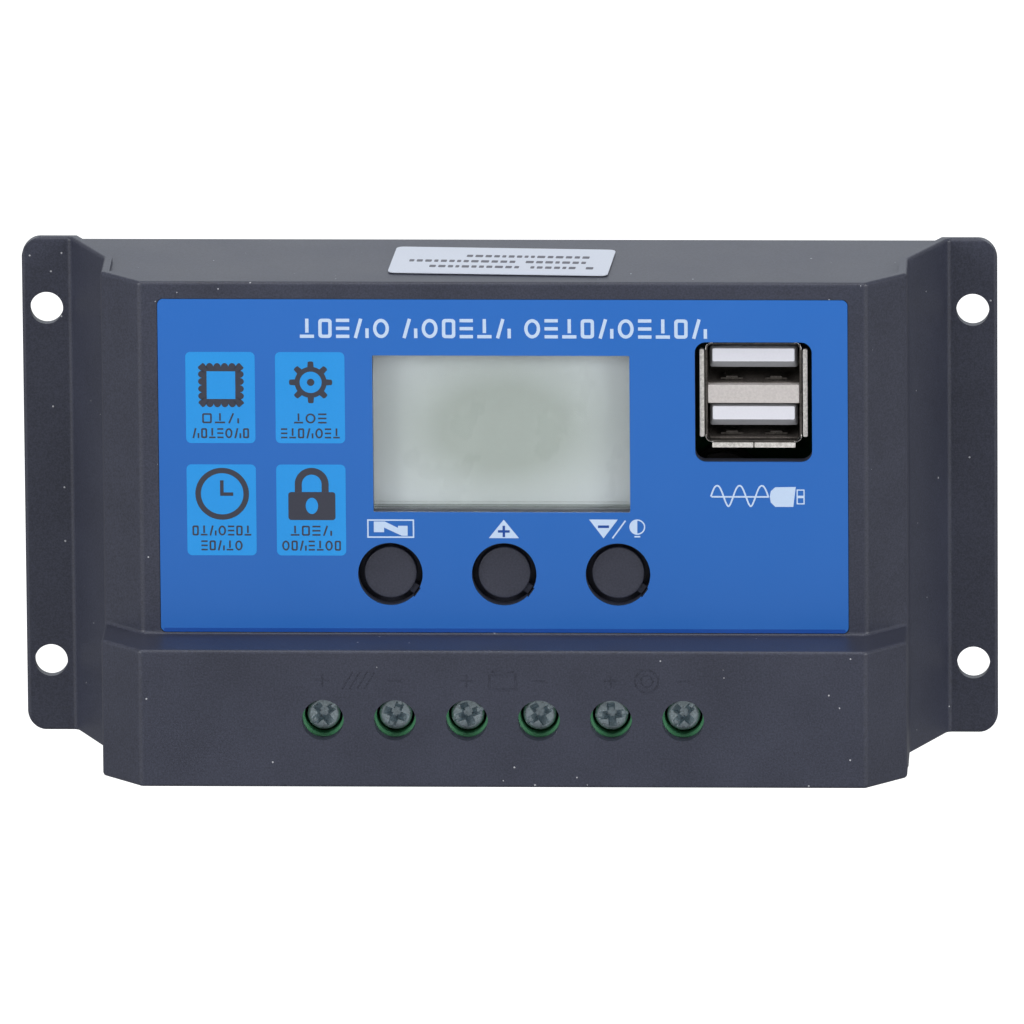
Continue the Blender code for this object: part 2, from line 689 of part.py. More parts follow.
def back_cover():
    """Plate that closes the back, with vents and countersunk screw holes."""
    x = SEAT_X - GAP
    outline = rounded(-x, x, BOTTOM_Y + WALL + GAP, TOP_Y - WALL - GAP, PLATE_CORNER, 2)
    vents = []
    for side in (-1, 1):
        for n in range(VENT_COUNT):
            left = side * (VENT_FROM_CENTRE + n * VENT_PITCH) - VENT_WIDTH / 2
            vents.append(rounded(left, left + VENT_WIDTH, -VENT_LENGTH / 2, VENT_LENGTH / 2,
                                 VENT_WIDTH * 0.45, 2))
    plate = solid("back_cover", [outline], 0, COVER_PLATE)
    cut(plate, cutter("vents", vents, -OVERCUT, COVER_PLATE + OVERCUT))
    cut(plate, cones("cover_holes", BACK_HOLES, BACK_SCREW_RADIUS + GAP,
                     BACK_SCREW_RADIUS + GAP, -OVERCUT, COVER_PLATE + OVERCUT, 16))
    rim = BACK_SCREW_HEAD + GAP + OVERCUT
    sinks = cones("countersinks", BACK_HOLES, rim, BACK_SCREW_RADIUS + GAP - OVERCUT / 4,
                  -OVERCUT, BACK_SCREW_HEAD - BACK_SCREW_RADIUS + OVERCUT / 4, 16)
    return finish(cut(plate, sinks), BLACK, 0.6)


def back_screws():
    """CounterBACK_SCREW_SINK screws that enter from the back."""
    head = BACK_SCREW_HEAD - BACK_SCREW_RADIUS
    profile = [(0, BACK_SCREW_LENGTH), (BACK_SCREW_RADIUS * 0.5, BACK_SCREW_LENGTH),
               (BACK_SCREW_RADIUS, BACK_SCREW_LENGTH - BACK_SCREW_POINT),
               (BACK_SCREW_RADIUS, head + BACK_SCREW_SINK),
               (BACK_SCREW_HEAD, BACK_SCREW_SINK), (0, BACK_SCREW_SINK)]
    screw = turned("back_screw_1", profile, (0, 0, 0), 16)
    baked(cross_recess(screw, BACK_RECESS_LENGTH, BACK_RECESS_WIDTH, -OVERCUT,
                       BACK_SCREW_SINK + BACK_RECESS_DEPTH))
    finish(screw, (0.35, 0.35, 0.37), 0.35, 1.0)
    names = [f"back_screw_{n + 1}" for n in range(len(BACK_HOLES))]
    copies(screw, names, [(x, y, 0) for x, y in BACK_HOLES])


# ---------------------------------------------------------------- label, window, sticker
def label_and_window():
    """Printed film in the front recess, and the clear pane over the display."""
    low, high = BODY_DEPTH - FILM, BODY_DEPTH
    film = slab("label_film", [label_outline()] + face_holes(), low, high)
    finish(film, (0.03, 0.16, 0.62), 0.25)
    pane = slab("display_window", [window_outline(-GAP)], low, high)
    finish(pane, (0.85, 0.9, 0.87), 0.05, alpha=0.2)


def rating_sticker():
    """Plain paper sticker on the top wall, set down slightly askew."""
    half_length, half_width = STICKER_LENGTH / 2, STICKER_WIDTH / 2
    outline = rounded(-half_length, half_length, -half_width, half_width, STICKER_CORNER, 3)
    low = TOP_Y + GAP / 2
    sticker = slab("rating_sticker", [outline], low, low + STICKER_THICKNESS, "up")
    sticker.location = (STICKER_SHIFT, low + STICKER_THICKNESS / 2, STICKER_DEPTH)
    sticker.rotation_euler = (math.radians(90), -STICKER_TURN, 0)
    finish(sticker, (0.8, 0.8, 0.82), 0.5)


# ---------------------------------------------------------------- display module
def display_module():
    """Glass and light guide in a frame that stands on the board, with its pins."""
    x0, x1 = WINDOW_LEFT - GLASS_MARGIN, WINDOW_RIGHT + GLASS_MARGIN
    y0, y1 = WINDOW_BOTTOM - GLASS_MARGIN, WINDOW_TOP + GLASS_MARGIN
    glass_top = BODY_DEPTH - DISPLAY_DEPTH
    glass_low = glass_top - GLASS_THICKNESS
    step = glass_low + GLASS_THICKNESS / 2
    section = [(y0, glass_low), (y1, glass_low), (y1, glass_top), (y0 + GUIDE_LEDGE, glass_top),
               (y0 + GUIDE_LEDGE, step), (y0, step)]
    finish(slab("lcd_glass", [section], x0, x1, "side"), (0.4, 0.45, 0.4), 0.1)

    guide_top = glass_low - GAP
    guide_low = guide_top - LIGHT_GUIDE_THICKNESS
    guide = boxes("lcd_light_guide", [((x0, y0, guide_low), (x1, y1, guide_top))])
    finish(bevel(guide, SMALL_EDGE), (0.8, 0.82, 0.8), 0.4)

    floor_top = guide_low - GAP
    floor_low = floor_top - FRAME_FLOOR
    rim = GAP + FRAME_WALL
    frame = boxes("lcd_frame", [((x0 - rim, y0 - rim, floor_low),
                                 (x1 + rim, y1 + rim, glass_top + FRAME_LIP))])
    pocket = ((x0 - GAP, y0 - GAP, floor_top), (x1 + GAP, y1 + GAP, glass_top + OVERCUT))
    cut(frame, boxes("lcd_pocket", [pocket], CUTTERS))
    legs = []
    for x in (x0 - rim + OVERLAP, x1 + rim - OVERLAP - FRAME_LEG):
        for y in (y0 - rim + OVERLAP, y1 + rim - OVERLAP - FRAME_LEG):
            legs.append(((x, y, ON_BOARD), (x + FRAME_LEG, y + FRAME_LEG, floor_low + OVERLAP)))
    combine(frame, boxes("lcd_legs", legs, CUTTERS), "UNION")
    finish(frame, (0.75, 0.76, 0.75), 0.5)

    header_high = floor_low - GAP
    pins = 1 + int((x1 - x0 - 2 * PIN_MARGIN) / PIN_PITCH)
    teeth = comb((pins - 1) * PIN_PITCH + PIN_WIDTH, header_high - HEADER_BAR,
                 header_high, ON_BOARD, PIN_WIDTH, pins)
    teeth = [(x + (x0 + x1) / 2, depth) for x, depth in teeth]
    header_y = y1 - HEADER_WIDTH / 2 - FRAME_LEG
    header = slab("lcd_pin_header", [teeth], header_y - HEADER_WIDTH / 2,
                  header_y + HEADER_WIDTH / 2, "up")
    finish(header, (0.05, 0.05, 0.05), 0.5)


# ---------------------------------------------------------------- buttons
def buttons():
    """Caps with a flange and a key, each over the plunger of a switch."""
    top = BODY_DEPTH - BUTTON_SINK
    flange_high = INNER_FRONT - 2 * GAP
    flange_low = flange_high - FLANGE_THICKNESS
    stem_low = flange_low - STEM_LENGTH
    profile = [(0, top), (BUTTON_RADIUS - BUTTON_EDGE, top), (BUTTON_RADIUS, top - BUTTON_EDGE),
               (BUTTON_RADIUS, flange_high), (FLANGE_RADIUS, flange_high),
               (FLANGE_RADIUS, flange_low), (STEM_RADIUS, flange_low),
               (STEM_RADIUS, stem_low), (0, stem_low)]
    plunger_high = stem_low - GAP
    plunger_low = ON_BOARD + SWITCH_HEIGHT - PLUNGER_SEAT
    half = SWITCH_SIZE / 2
    for name, x in zip(BUTTON_SIDES, BUTTON_X):
        cap = turned(f"button_cap_{name}", profile, (x, BUTTON_Y, 0))
        key_reach = BUTTON_HOLE_RADIUS + KEY_REACH
        outline, low, high = key_box(x, key_reach, KEY_WIDTH / 2, flange_high - OVERLAP,
                                     LEDGE - GAP)
        combine(cap, cutter(f"key_{name}", [outline], low, high), "UNION")
        finish(cap, (0.03, 0.03, 0.035), 0.5)

        span = ((x - half, BUTTON_Y - half, ON_BOARD),
                (x + half, BUTTON_Y + half, ON_BOARD + SWITCH_HEIGHT))
        body = bevel(boxes(f"switch_body_{name}", [span]), SMALL_EDGE)
        well = cones(f"switch_well_{name}", [(x, BUTTON_Y)], PLUNGER_RADIUS + GAP,
                     PLUNGER_RADIUS + GAP, plunger_low - BUTTON_TRAVEL - GAP,
                     ON_BOARD + SWITCH_HEIGHT + OVERCUT, 16)
        finish(cut(body, well), (0.04, 0.04, 0.045), 0.5)

        rod = [(0, plunger_high), (PLUNGER_RADIUS, plunger_high),
               (PLUNGER_RADIUS, plunger_low), (0, plunger_low)]
        plunger = turned(f"switch_plunger_{name}", rod, (x, BUTTON_Y, 0), 12)
        finish(plunger, (0.1, 0.1, 0.11), 0.4)


# ---------------------------------------------------------------- twin USB socket
def usb_socket():
    """Sheet-metal shell with two ports, and an insulator with a tongue in each."""
    x0, x1 = USB_X - USB_WIDTH / 2, USB_X + USB_WIDTH / 2
    port = (USB_HEIGHT - 2 * USB_SHEET - USB_DIVIDER) / 2
    tops = {"upper": USB_TOP - USB_SHEET, "lower": USB_TOP - USB_SHEET - port - USB_DIVIDER}
    ports = [rectangle(x0 + USB_SHEET, x1 - USB_SHEET, top - port, top)
             for top in tops.values()]
    outer = rounded(x0, x1, USB_TOP - USB_HEIGHT, USB_TOP, USB_CORNER, 2)
    shell = slab("usb_shell", [outer] + ports, ON_BOARD, USB_MOUTH)
    finish(shell, (0.62, 0.6, 0.57), 0.3, 1.0)
    for name, top in tops.items():
        high = top - GAP
        low = top - port + GAP
        base = ON_BOARD + USB_BASE
        tip = USB_MOUTH - GAP
        section = [(low, ON_BOARD), (high, ON_BOARD), (high, tip), (high - USB_TONGUE, tip),
                   (high - USB_TONGUE, base), (low, base)]
        tongue = slab(f"usb_tongue_{name}", [section], x0 + USB_SHEET + 2 * GAP,
                      x1 - USB_SHEET - 2 * GAP, "side")
        finish(tongue, (0.82, 0.82, 0.84), 0.4)


# ---------------------------------------------------------------- terminal block
def terminal_block():
    """Green housing: a chamber, a wire mouth, a screw well and a tail slot for each pole."""
    body = boxes("terminal_block", [((-BLOCK_X, BLOCK_FACE, ON_BOARD),
                                     (BLOCK_X, BLOCK_REAR, BLOCK_TOP))])
    centres = [(x, POLE_Y) for x in POLE_X]
    mouth_low = CAGE_LOW + CAGE_WALL - GAP
    slot_half = BAR_WIDTH / 2 + GAP
    spans = {"clamp_chambers": [], "wire_mouths": [], "tail_slots": []}
    for x in POLE_X:
        spans["clamp_chambers"].append(((x - CHAMBER_HALF, CHAMBER_FRONT, CHAMBER_LOW),
                                        (x + CHAMBER_HALF, CHAMBER_REAR, CHAMBER_HIGH)))
        spans["wire_mouths"].append(
            ((x - MOUTH_WIDTH / 2, BLOCK_FACE - OVERCUT, mouth_low),
             (x + MOUTH_WIDTH / 2, POLE_Y, mouth_low + MOUTH_HEIGHT)))
        spans["tail_slots"].append(
            ((x - slot_half, POLE_Y, ON_BOARD - OVERCUT),
             (x + slot_half, TAIL_Y + GAP, BAR_HIGH + GAP)))
    for name, span in spans.items():
        cut(body, boxes(name, span, CUTTERS))
    cut(body, cones("screw_wells", centres, WELL_RADIUS, WELL_RADIUS, HEAD_LOW - GAP,
                    BLOCK_TOP + OVERCUT))
    cut(body, cones("shank_bores", centres, SHANK_RADIUS + GAP, SHANK_RADIUS + GAP,
                    CHAMBER_HIGH - OVERCUT, HEAD_LOW, 16))
    finish(body, (0.05, 0.4, 0.2), 0.4)


def terminal_hardware():
    """Screw, rising clamp and contact bar of each pole."""
    profile = [(0, HEAD_TOP), (HEAD_RADIUS - HEAD_CHAMFER, HEAD_TOP),
               (HEAD_RADIUS, HEAD_TOP - HEAD_CHAMFER), (HEAD_RADIUS, HEAD_LOW),
               (SHANK_RADIUS, HEAD_LOW), (SHANK_RADIUS, CROWN_LOW), (0, CROWN_LOW)]
    screw = turned("terminal_screw_1", profile, (0, 0, 0), 20)
    slot = HEAD_RADIUS + OVERCUT
    span = ((-slot, -SLOT_WIDTH / 2, HEAD_TOP - SLOT_DEPTH),
            (slot, SLOT_WIDTH / 2, HEAD_TOP + OVERCUT))
    cut(screw, boxes("screw_slot", [span], CUTTERS))
    cross_recess(screw, RECESS_LENGTH, RECESS_WIDTH, HEAD_TOP - RECESS_DEPTH,
                 HEAD_TOP + OVERCUT)
    baked(screw)
    finish(screw, (0.55, 0.56, 0.56), 0.3, 1.0)
    places = [(x, POLE_Y, 0) for x in POLE_X]
    numbers = range(1, POLES + 1)
    copies(screw, [f"terminal_screw_{n}" for n in numbers], places, HEAD_TURNS)

    half = CAGE_WIDTH / 2
    ring = [rectangle(-half, half, CAGE_LOW, CAGE_HIGH),
            rectangle(CAGE_WALL - half, half - CAGE_WALL, CAGE_LOW + CAGE_WALL, CROWN_LOW)]
    cage = solid("clamp_cage_1", ring, -CAGE_LENGTH / 2, CAGE_LENGTH / 2, "up")
    cage.data.transform(cage.matrix_basis)
    cage.rotation_euler = (0, 0, 0)
    thread = cones("clamp_thread", [(0, 0)], SHANK_RADIUS + GAP, SHANK_RADIUS + GAP,
                   CROWN_LOW - OVERCUT, CAGE_HIGH + OVERCUT, 16)
    baked(cut(cage, thread))
    finish(cage, (0.55, 0.5, 0.35), 0.35, 1.0)
    copies(cage, [f"clamp_cage_{n}" for n in numbers], places)

    tip = POLE_Y - CAGE_LENGTH / 2
    section = [(tip, BAR_LOW), (tip, BAR_HIGH), (TAIL_Y, BAR_HIGH),
               (TAIL_Y, BOARD_BACK - BAR_TAIL), (TAIL_Y - BAR_THICKNESS, BOARD_BACK - BAR_TAIL),
               (TAIL_Y - BAR_THICKNESS, BAR_LOW)]
    for n, x in zip(numbers, POLE_X):
        bar = slab(f"contact_bar_{n}", [section], x - BAR_WIDTH / 2, x + BAR_WIDTH / 2, "side")
        finish(bar, (0.7, 0.55, 0.3), 0.3, 1.0)


# ---------------------------------------------------------------- board and its parts
def main_board():
    """Board with holes for its screws and for the terminals' tails."""
    outline = rounded(-BOARD_X, BOARD_X, BOARD_BOTTOM, BOARD_TOP, PLATE_CORNER, 2)
    holes = [circle(x, y, BOARD_SCREW_RADIUS + GAP, 16) for x, y in BOARD_HOLES]
    tail = math.hypot(BAR_WIDTH, BAR_THICKNESS) / 2 + GAP
    holes += [circle(x, TAIL_Y - BAR_THICKNESS / 2, tail, 16) for x in POLE_X]
    board = slab("main_board", [outline] + holes, BOARD_BACK, BOARD_FRONT)
    finish(board, (0.02, 0.18, 0.07), 0.4)


def board_screws():
    """Pan-head screws that hold the board to the case's columns."""
    head_high = BOARD_BACK - GAP
    head_low = head_high - BOARD_SCREW_HEAD_HEIGHT
    tip = BOARD_BACK + BOARD_SCREW_LENGTH
    profile = [(0, tip), (BOARD_SCREW_RADIUS * 0.5, tip),
               (BOARD_SCREW_RADIUS, tip - BOARD_SCREW_POINT), (BOARD_SCREW_RADIUS, head_high),
               (BOARD_SCREW_HEAD, head_high), (BOARD_SCREW_HEAD, head_low + BOARD_SCREW_DOME),
               (BOARD_SCREW_HEAD * 0.6, head_low), (0, head_low)]
    screw = turned("board_screw_1", profile, (0, 0, 0), 12)
    finish(screw, (0.6, 0.6, 0.6), 0.3, 1.0)
    names = [f"board_screw_{n + 1}" for n in range(len(BOARD_HOLES))]
    baked(screw)
    copies(screw, names, [(x, y, 0) for x, y in BOARD_HOLES])


def power_stage():
    """Switching transistors under a pad and a finned heat sink."""
    width, length, height = TRANSISTOR_SIZE
    middle = (TRANSISTOR_COUNT - 1) / 2
    for n in range(TRANSISTOR_COUNT):
        y = POWER_Y + (n - middle) * TRANSISTOR_PITCH
        low, high = y - length / 2, y + length / 2
        top = ON_BOARD + height
        tab = ON_BOARD + TRANSISTOR_TAB
        section = [(low - TRANSISTOR_LEAD, ON_BOARD), (high + TRANSISTOR_LEAD, ON_BOARD),
                   (high + TRANSISTOR_LEAD, tab), (high, tab), (high, top), (low, top),
                   (low, tab / 2 + ON_BOARD / 2), (low - TRANSISTOR_LEAD, tab / 2 + ON_BOARD / 2)]
        part = slab(f"power_transistor_{n + 1}", [section], POWER_X - width / 2,
                    POWER_X + width / 2, "side")
        finish(part, (0.03, 0.03, 0.03), 0.5)
    pad_low = ON_BOARD + height + GAP
    pad_high = pad_low + PAD_THICKNESS
    x0, x1 = POWER_X - SINK_WIDTH / 2, POWER_X + SINK_WIDTH / 2
    y0, y1 = POWER_Y - SINK_LENGTH / 2, POWER_Y + SINK_LENGTH / 2
    pad = boxes("thermal_pad", [((x0, y0, pad_low), (x1, y1, pad_high))])
    finish(pad, (0.35, 0.45, 0.6), 0.8)
    base = pad_high + GAP
    fins = comb(SINK_WIDTH, base, base + SINK_BASE, base + SINK_HEIGHT, SINK_FIN, SINK_FINS)
    sink = slab("heat_sink", [[(x + POWER_X, d) for x, d in fins]], y0, y1, "up")
    finish(sink, (0.6, 0.6, 0.62), 0.4, 1.0)


def small_parts():
    """Capacitors, inductor and chips."""
    top = ON_BOARD + CAPACITOR_HEIGHT
    r = CAPACITOR_RADIUS
    inner = r - CAPACITOR_EDGE
    above, floor, below = [ON_BOARD + height for height in CAPACITOR_CRIMP]
    can = [(0, top), (inner, top), (r, top - CAPACITOR_EDGE), (r, above), (inner, floor),
           (r, below), (r, ON_BOARD), (0, ON_BOARD)]
    for n, (edge, y) in enumerate(CAPACITOR_PLACES):
        x = BOARD_X - edge
        capacitor = turned(f"capacitor_{n + 1}", can, (x, y, 0), 16)
        finish(capacitor, (0.03, 0.05, 0.12), 0.35)
    high = ON_BOARD + INDUCTOR_HEIGHT
    r, waist, brim = INDUCTOR_RADIUS, INDUCTOR_WAIST, INDUCTOR_BRIM
    drum = [(0, high), (r, high), (r, high - brim), (waist, high - brim),
            (waist, ON_BOARD + brim), (r, ON_BOARD + brim), (r, ON_BOARD), (0, ON_BOARD)]
    inductor_edge, inductor_y = INDUCTOR_PLACE
    inductor = turned("inductor", drum, (BOARD_X - inductor_edge, inductor_y, 0), 16)
    finish(inductor, (0.12, 0.11, 0.11), 0.6)
    names = ["controller_chip", "converter_chip"]
    for name, (edge, y), (w, h, t) in zip(names, CHIP_PLACES, CHIP_SIZES):
        x = BOARD_X - edge
        span = ((x - w / 2, y - h / 2, ON_BOARD), (x + w / 2, y + h / 2, ON_BOARD + t))
        finish(bevel(boxes(name, [span]), CHIP_EDGE), (0.03, 0.03, 0.03), 0.5)


# ---------------------------------------------------------------- assembly
front_shell()
back_cover()
back_screws()
label_and_window()
rating_sticker()
display_module()
buttons()
usb_socket()
terminal_block()
terminal_hardware()
main_board()
board_screws()
power_stage()
small_parts()
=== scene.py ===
# %% [markdown]
# # A wall-mounted solar charge controller
# The real thing is a moulded plastic case with a printed blue label, a small display, three
# push buttons, a twin USB socket and a row of screw terminals under a raised cover. The packed
# model already holds every part at its real size, so this script only makes the visible
# surfaces: finer meshes for what the eye lands on, and a procedural finish for everything.

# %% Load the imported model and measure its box
import math

import bmesh
import bpy
import numpy as np
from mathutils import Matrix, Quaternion, Vector

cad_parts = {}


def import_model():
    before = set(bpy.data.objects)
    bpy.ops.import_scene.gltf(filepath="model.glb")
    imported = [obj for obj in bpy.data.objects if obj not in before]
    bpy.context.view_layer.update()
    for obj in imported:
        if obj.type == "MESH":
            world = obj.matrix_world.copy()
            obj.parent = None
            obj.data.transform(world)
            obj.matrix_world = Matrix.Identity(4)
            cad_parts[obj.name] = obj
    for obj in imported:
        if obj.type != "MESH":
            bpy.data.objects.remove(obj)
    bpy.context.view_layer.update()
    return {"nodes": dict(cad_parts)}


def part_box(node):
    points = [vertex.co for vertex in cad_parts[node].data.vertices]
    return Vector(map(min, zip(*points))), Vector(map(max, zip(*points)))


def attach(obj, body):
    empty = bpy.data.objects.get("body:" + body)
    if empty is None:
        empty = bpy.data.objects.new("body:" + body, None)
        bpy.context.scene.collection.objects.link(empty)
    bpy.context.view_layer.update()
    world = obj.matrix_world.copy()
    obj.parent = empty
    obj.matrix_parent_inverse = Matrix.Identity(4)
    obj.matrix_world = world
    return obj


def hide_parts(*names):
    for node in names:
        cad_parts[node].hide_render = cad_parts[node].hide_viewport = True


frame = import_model()
MM = 0.001

# %% [markdown]
# ## One set of coordinates for the face
# The controller hangs on a wall, so its front is upright and looks along -Y. It is easier to
# think of the front as a sheet of paper: x to the right, z up, and a depth that grows out of the
# wall. `world` turns such points into scene points, and `face_box` reads a part's box that way.

# %% Face coordinates
def world(x, z, depth):
    """Scene points from x, height z and depth out of the wall: (x, -depth, z)."""
    x, z, depth = np.broadcast_arrays(x, z, depth)
    return np.stack([x, -depth, z], axis=-1).astype(float)


class FaceBox:
    """Box of a CAD node: x0..x1 across, z0..z1 up, near..far as depths out of the wall."""

    def __init__(self, node):
        low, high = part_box(node)
        self.x0, self.x1 = low.x, high.x
        self.z0, self.z1 = low.z, high.z
        self.near, self.far = -high.y, -low.y
        self.x, self.z = (low.x + high.x) / 2, (low.z + high.z) / 2


SHELL = FaceBox("front_shell")
LABEL = FaceBox("label_film")
WINDOW = FaceBox("display_window")
GLASS = FaceBox("lcd_glass")
USB = FaceBox("usb_shell")
BLOCK = FaceBox("terminal_block")
COVER = FaceBox("back_cover")
BUTTONS = {side: FaceBox(f"button_cap_{side}") for side in ("left", "middle", "right")}
SCREWS = [FaceBox(f"terminal_screw_{n}") for n in range(1, 7)]
print("case", [round(v / MM, 2) for v in (SHELL.x1 - SHELL.x0, SHELL.z1 - SHELL.z0, SHELL.far)])

# %% [markdown]
# ## Outlines as arrays
# Most of this object was cut or moulded from flat outlines, so the first helpers return closed
# loops of points. Each is a formula evaluated on a whole array of angles at once.

# %% Outline helpers
def ellipse(cx, cz, rx, rz=None, count=72):
    """Closed loop: centre plus radius times (cos, sin) of evenly spaced angles."""
    a = np.linspace(0, 2 * math.pi, count, endpoint=False)
    return np.stack([cx + rx * np.cos(a), cz + (rx if rz is None else rz) * np.sin(a)], -1)


def rounded(x0, x1, z0, z1, r, steps=8):
    """Rectangle whose four corners are quarter circles of radius r, anticlockwise."""
    a = np.linspace(0, math.pi / 2, steps + 1)
    centres = np.array([[x1 - r, z0 + r], [x1 - r, z1 - r], [x0 + r, z1 - r], [x0 + r, z0 + r]])
    turns = np.array([-0.5, 0.0, 0.5, 1.0])[:, None] * math.pi + a
    corners = centres[:, None] + r * np.stack([np.cos(turns), np.sin(turns)], -1)
    return corners.reshape(-1, 2)


def strip(start, end, width):
    """Rectangle of a width along the line from start to end."""
    start, end = np.array(start, float), np.array(end, float)
    along = (end - start) / np.linalg.norm(end - start)
    side = np.array([-along[1], along[0]]) * width / 2
    return np.array([start - side, end - side, end + side, start + side])


def offset_chain(points, distance):
    """Open chain moved sideways: each corner goes along the mean of its two edges' normals,
    divided by that mean's squared length, so that straight runs keep the distance."""
    points = np.asarray(points, float)
    edge = np.diff(points, axis=0)
    normal = np.stack([-edge[:, 1], edge[:, 0]], -1) / np.linalg.norm(edge, axis=1)[:, None]
    first = np.vstack([normal[:1], normal])
    second = np.vstack([normal, normal[-1:]])
    mean = (first + second) / 2
    return points + mean * (distance / (mean ** 2).sum(1))[:, None]


def mirrored(half):
    """Closed outline from a half given on the right, mirrored about x = 0."""
    half = np.asarray(half, float)
    return np.vstack([half, half[::-1] * [-1, 1]])


print("a rounded square is", len(rounded(-1, 1, -1, 1, 0.2)), "points")

# %% [markdown]
# ## From outlines to solids
# `drawn` pulls an outline through space, `ring` does the same with a hole in it, and `lathe`
# turns a profile round an axis. All three return plain vertex arrays and face lists, so several
# can be gathered into one mesh. Faces are turned outwards once, when the mesh is made.

# %% Solids as vertex arrays and face lists
def to_space(outline, level, along):
    """Outline points placed in space: (x, z) at a depth, or (x, depth) at a height, or
    (z, depth) at an x."""
    u, v = np.asarray(outline, float).T
    return {"depth": lambda: world(u, v, level), "up": lambda: world(u, level, v),
            "side": lambda: world(level, u, v)}[along]()


def joined(low, high):
    """Solid between two loops of equally many points in space: quads join them, and each loop
    is capped."""
    n = len(low)
    i = np.arange(n)
    j = (i + 1) % n
    walls = np.stack([i, j, j + n, i + n], -1).tolist()
    return np.vstack([low, high]), walls + [list(range(n))[::-1], list(range(n, 2 * n))]


def drawn(outline, low, high, along="depth"):
    """Solid between two copies of an outline, at a low and a high level of its third axis."""
    return joined(to_space(outline, low, along), to_space(outline, high, along))


def ring(outer, inner, low, high, along="depth"):
    """Solid between an outer and an inner loop of equally many points: four bands of quads."""
    n = len(outer)
    loops = [to_space(o, level, along)
             for o, level in ((outer, low), (outer, high), (inner, high), (inner, low))]
    i = np.arange(n)
    j = (i + 1) % n
    faces = []
    for k in range(4):
        a, b = k * n, (k + 1) % 4 * n
        faces += np.stack([a + i, a + j, b + j, b + i], -1).tolist()
    return np.vstack(loops), faces


def lathe(profile, cx, cz, sides=64):
    """Turned solid: each (radius, depth) becomes a circle of points round (cx, cz), radius
    times (cos, sin). The two ends lie on the axis and close with triangles."""
    profile = np.asarray(profile, float)
    rim = profile[1:-1]
    a = np.linspace(0, 2 * math.pi, sides, endpoint=False)
    x = cx + rim[:, :1] * np.cos(a)
    z = cz + rim[:, :1] * np.sin(a)
    points = world(x, z, rim[:, 1:] + 0 * x).reshape(-1, 3)
    ends = world(np.full(2, cx), np.full(2, cz), profile[[0, -1], 1])
    k, s = len(rim), np.arange(sides)
    t = (s + 1) % sides
    rows = np.arange(k - 1)[:, None] * sides
    quads = np.stack([rows + s, rows + t, rows + sides + t, rows + sides + s], -1)
    top, bottom, last = k * sides, k * sides + 1, (k - 1) * sides
    fans = np.vstack([np.stack([np.full(sides, top), s, t], -1),
                      np.stack([np.full(sides, bottom), last + t, last + s], -1)])
    return np.vstack([points, ends]), quads.reshape(-1, 4).tolist() + fans.tolist()


def gather(parts):
    """Several solids as one: vertices stacked, and each face list shifted to match."""
    points, faces, base = [], [], 0
    for p, f in parts:
        points.append(p)
        faces += [[int(v) + base for v in face] for face in f]
        base += len(p)
    return np.vstack(points), faces


print("a square pulled through space has", len(drawn(strip((0, 0), (1, 0), 1), 0, 1)[1]), "faces")

# %% [markdown]
# ## From arrays to finished pieces
# `piece` writes the arrays into a mesh and turns its faces outwards. `carve` is the moulder's or
# miller's cut, done with exact Booleans whose result is settled into the mesh. `soften` rounds
# edges, and `settle` shades the result: creases stay crisp, and big flats keep flat normals.

# %% Making, cutting and shading a piece
PIECES = []


def outwards(mesh):
    """Merge doubles and turn every face outwards."""
    edit = bmesh.new()
    edit.from_mesh(mesh)
    bmesh.ops.remove_doubles(edit, verts=edit.verts, dist=1e-7)
    bmesh.ops.recalc_face_normals(edit, faces=edit.faces)
    edit.to_mesh(mesh)
    edit.free()


def piece(name, solid):
    """Object with its place in its mesh, from a (points, faces) pair."""
    points, faces = solid
    mesh = bpy.data.meshes.new(name)
    mesh.from_pydata(points.tolist(), [], faces)
    outwards(mesh)
    item = bpy.data.objects.new(name, mesh)
    bpy.context.scene.collection.objects.link(item)
    return item


def applied(item):
    """Settle the modifiers of a piece into its mesh."""
    bpy.context.view_layer.update()
    shape = item.evaluated_get(bpy.context.evaluated_depsgraph_get())
    mesh = bpy.data.meshes.new_from_object(shape)
    item.modifiers.clear()
    item.data = mesh
    return item


def carve(item, *solids, how="DIFFERENCE"):
    """Cut solids out of a piece, or join or intersect them with it."""
    for n, solid in enumerate(solids):
        tool = piece(f"{item.name}_tool_{n}", solid)
        boolean = item.modifiers.new("cut", "BOOLEAN")
        boolean.object = tool
        boolean.operation = how
        boolean.solver = "EXACT"
        applied(item)
        bpy.data.objects.remove(tool)
    return item


def soften(item, width, segments=3, angle=32, limited=True):
    """Round every edge sharper than the angle. Limited keeps the width within short edges."""
    edge = item.modifiers.new("round", "BEVEL")
    edge.width = width
    edge.segments = segments
    edge.limit_method = "ANGLE"
    edge.angle_limit = math.radians(angle)
    edge.miter_outer = "MITER_ARC"
    edge.use_clamp_overlap = limited
    return applied(item)


def settle(item, body, material, node=None, crease=40):
    """Shade a piece, give it its finish, and let it ride on a body of the model."""
    item.data.shade_smooth()
    item.data.set_sharp_from_angle(angle=math.radians(crease))
    flat = item.modifiers.new("flat_faces", "WEIGHTED_NORMAL")
    flat.keep_sharp = True
    flat.weight = 80
    applied(item)
    item.data.materials.clear()
    item.data.materials.append(material)
    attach(item, body)
    if node:
        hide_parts(*([node] if isinstance(node, str) else node))
    PIECES.append(item)
    return item


print("pieces so far:", len(PIECES))

# %% [markdown]
# ## Shared surface effects
# Moulded plastic is never perfectly even: the mould's etched grain breaks up the light, and a
# little dust sits on it. Both are built once as node groups, and each material feeds them its
# own scale and strength. A group only puts out numbers; the shader stays in the material.

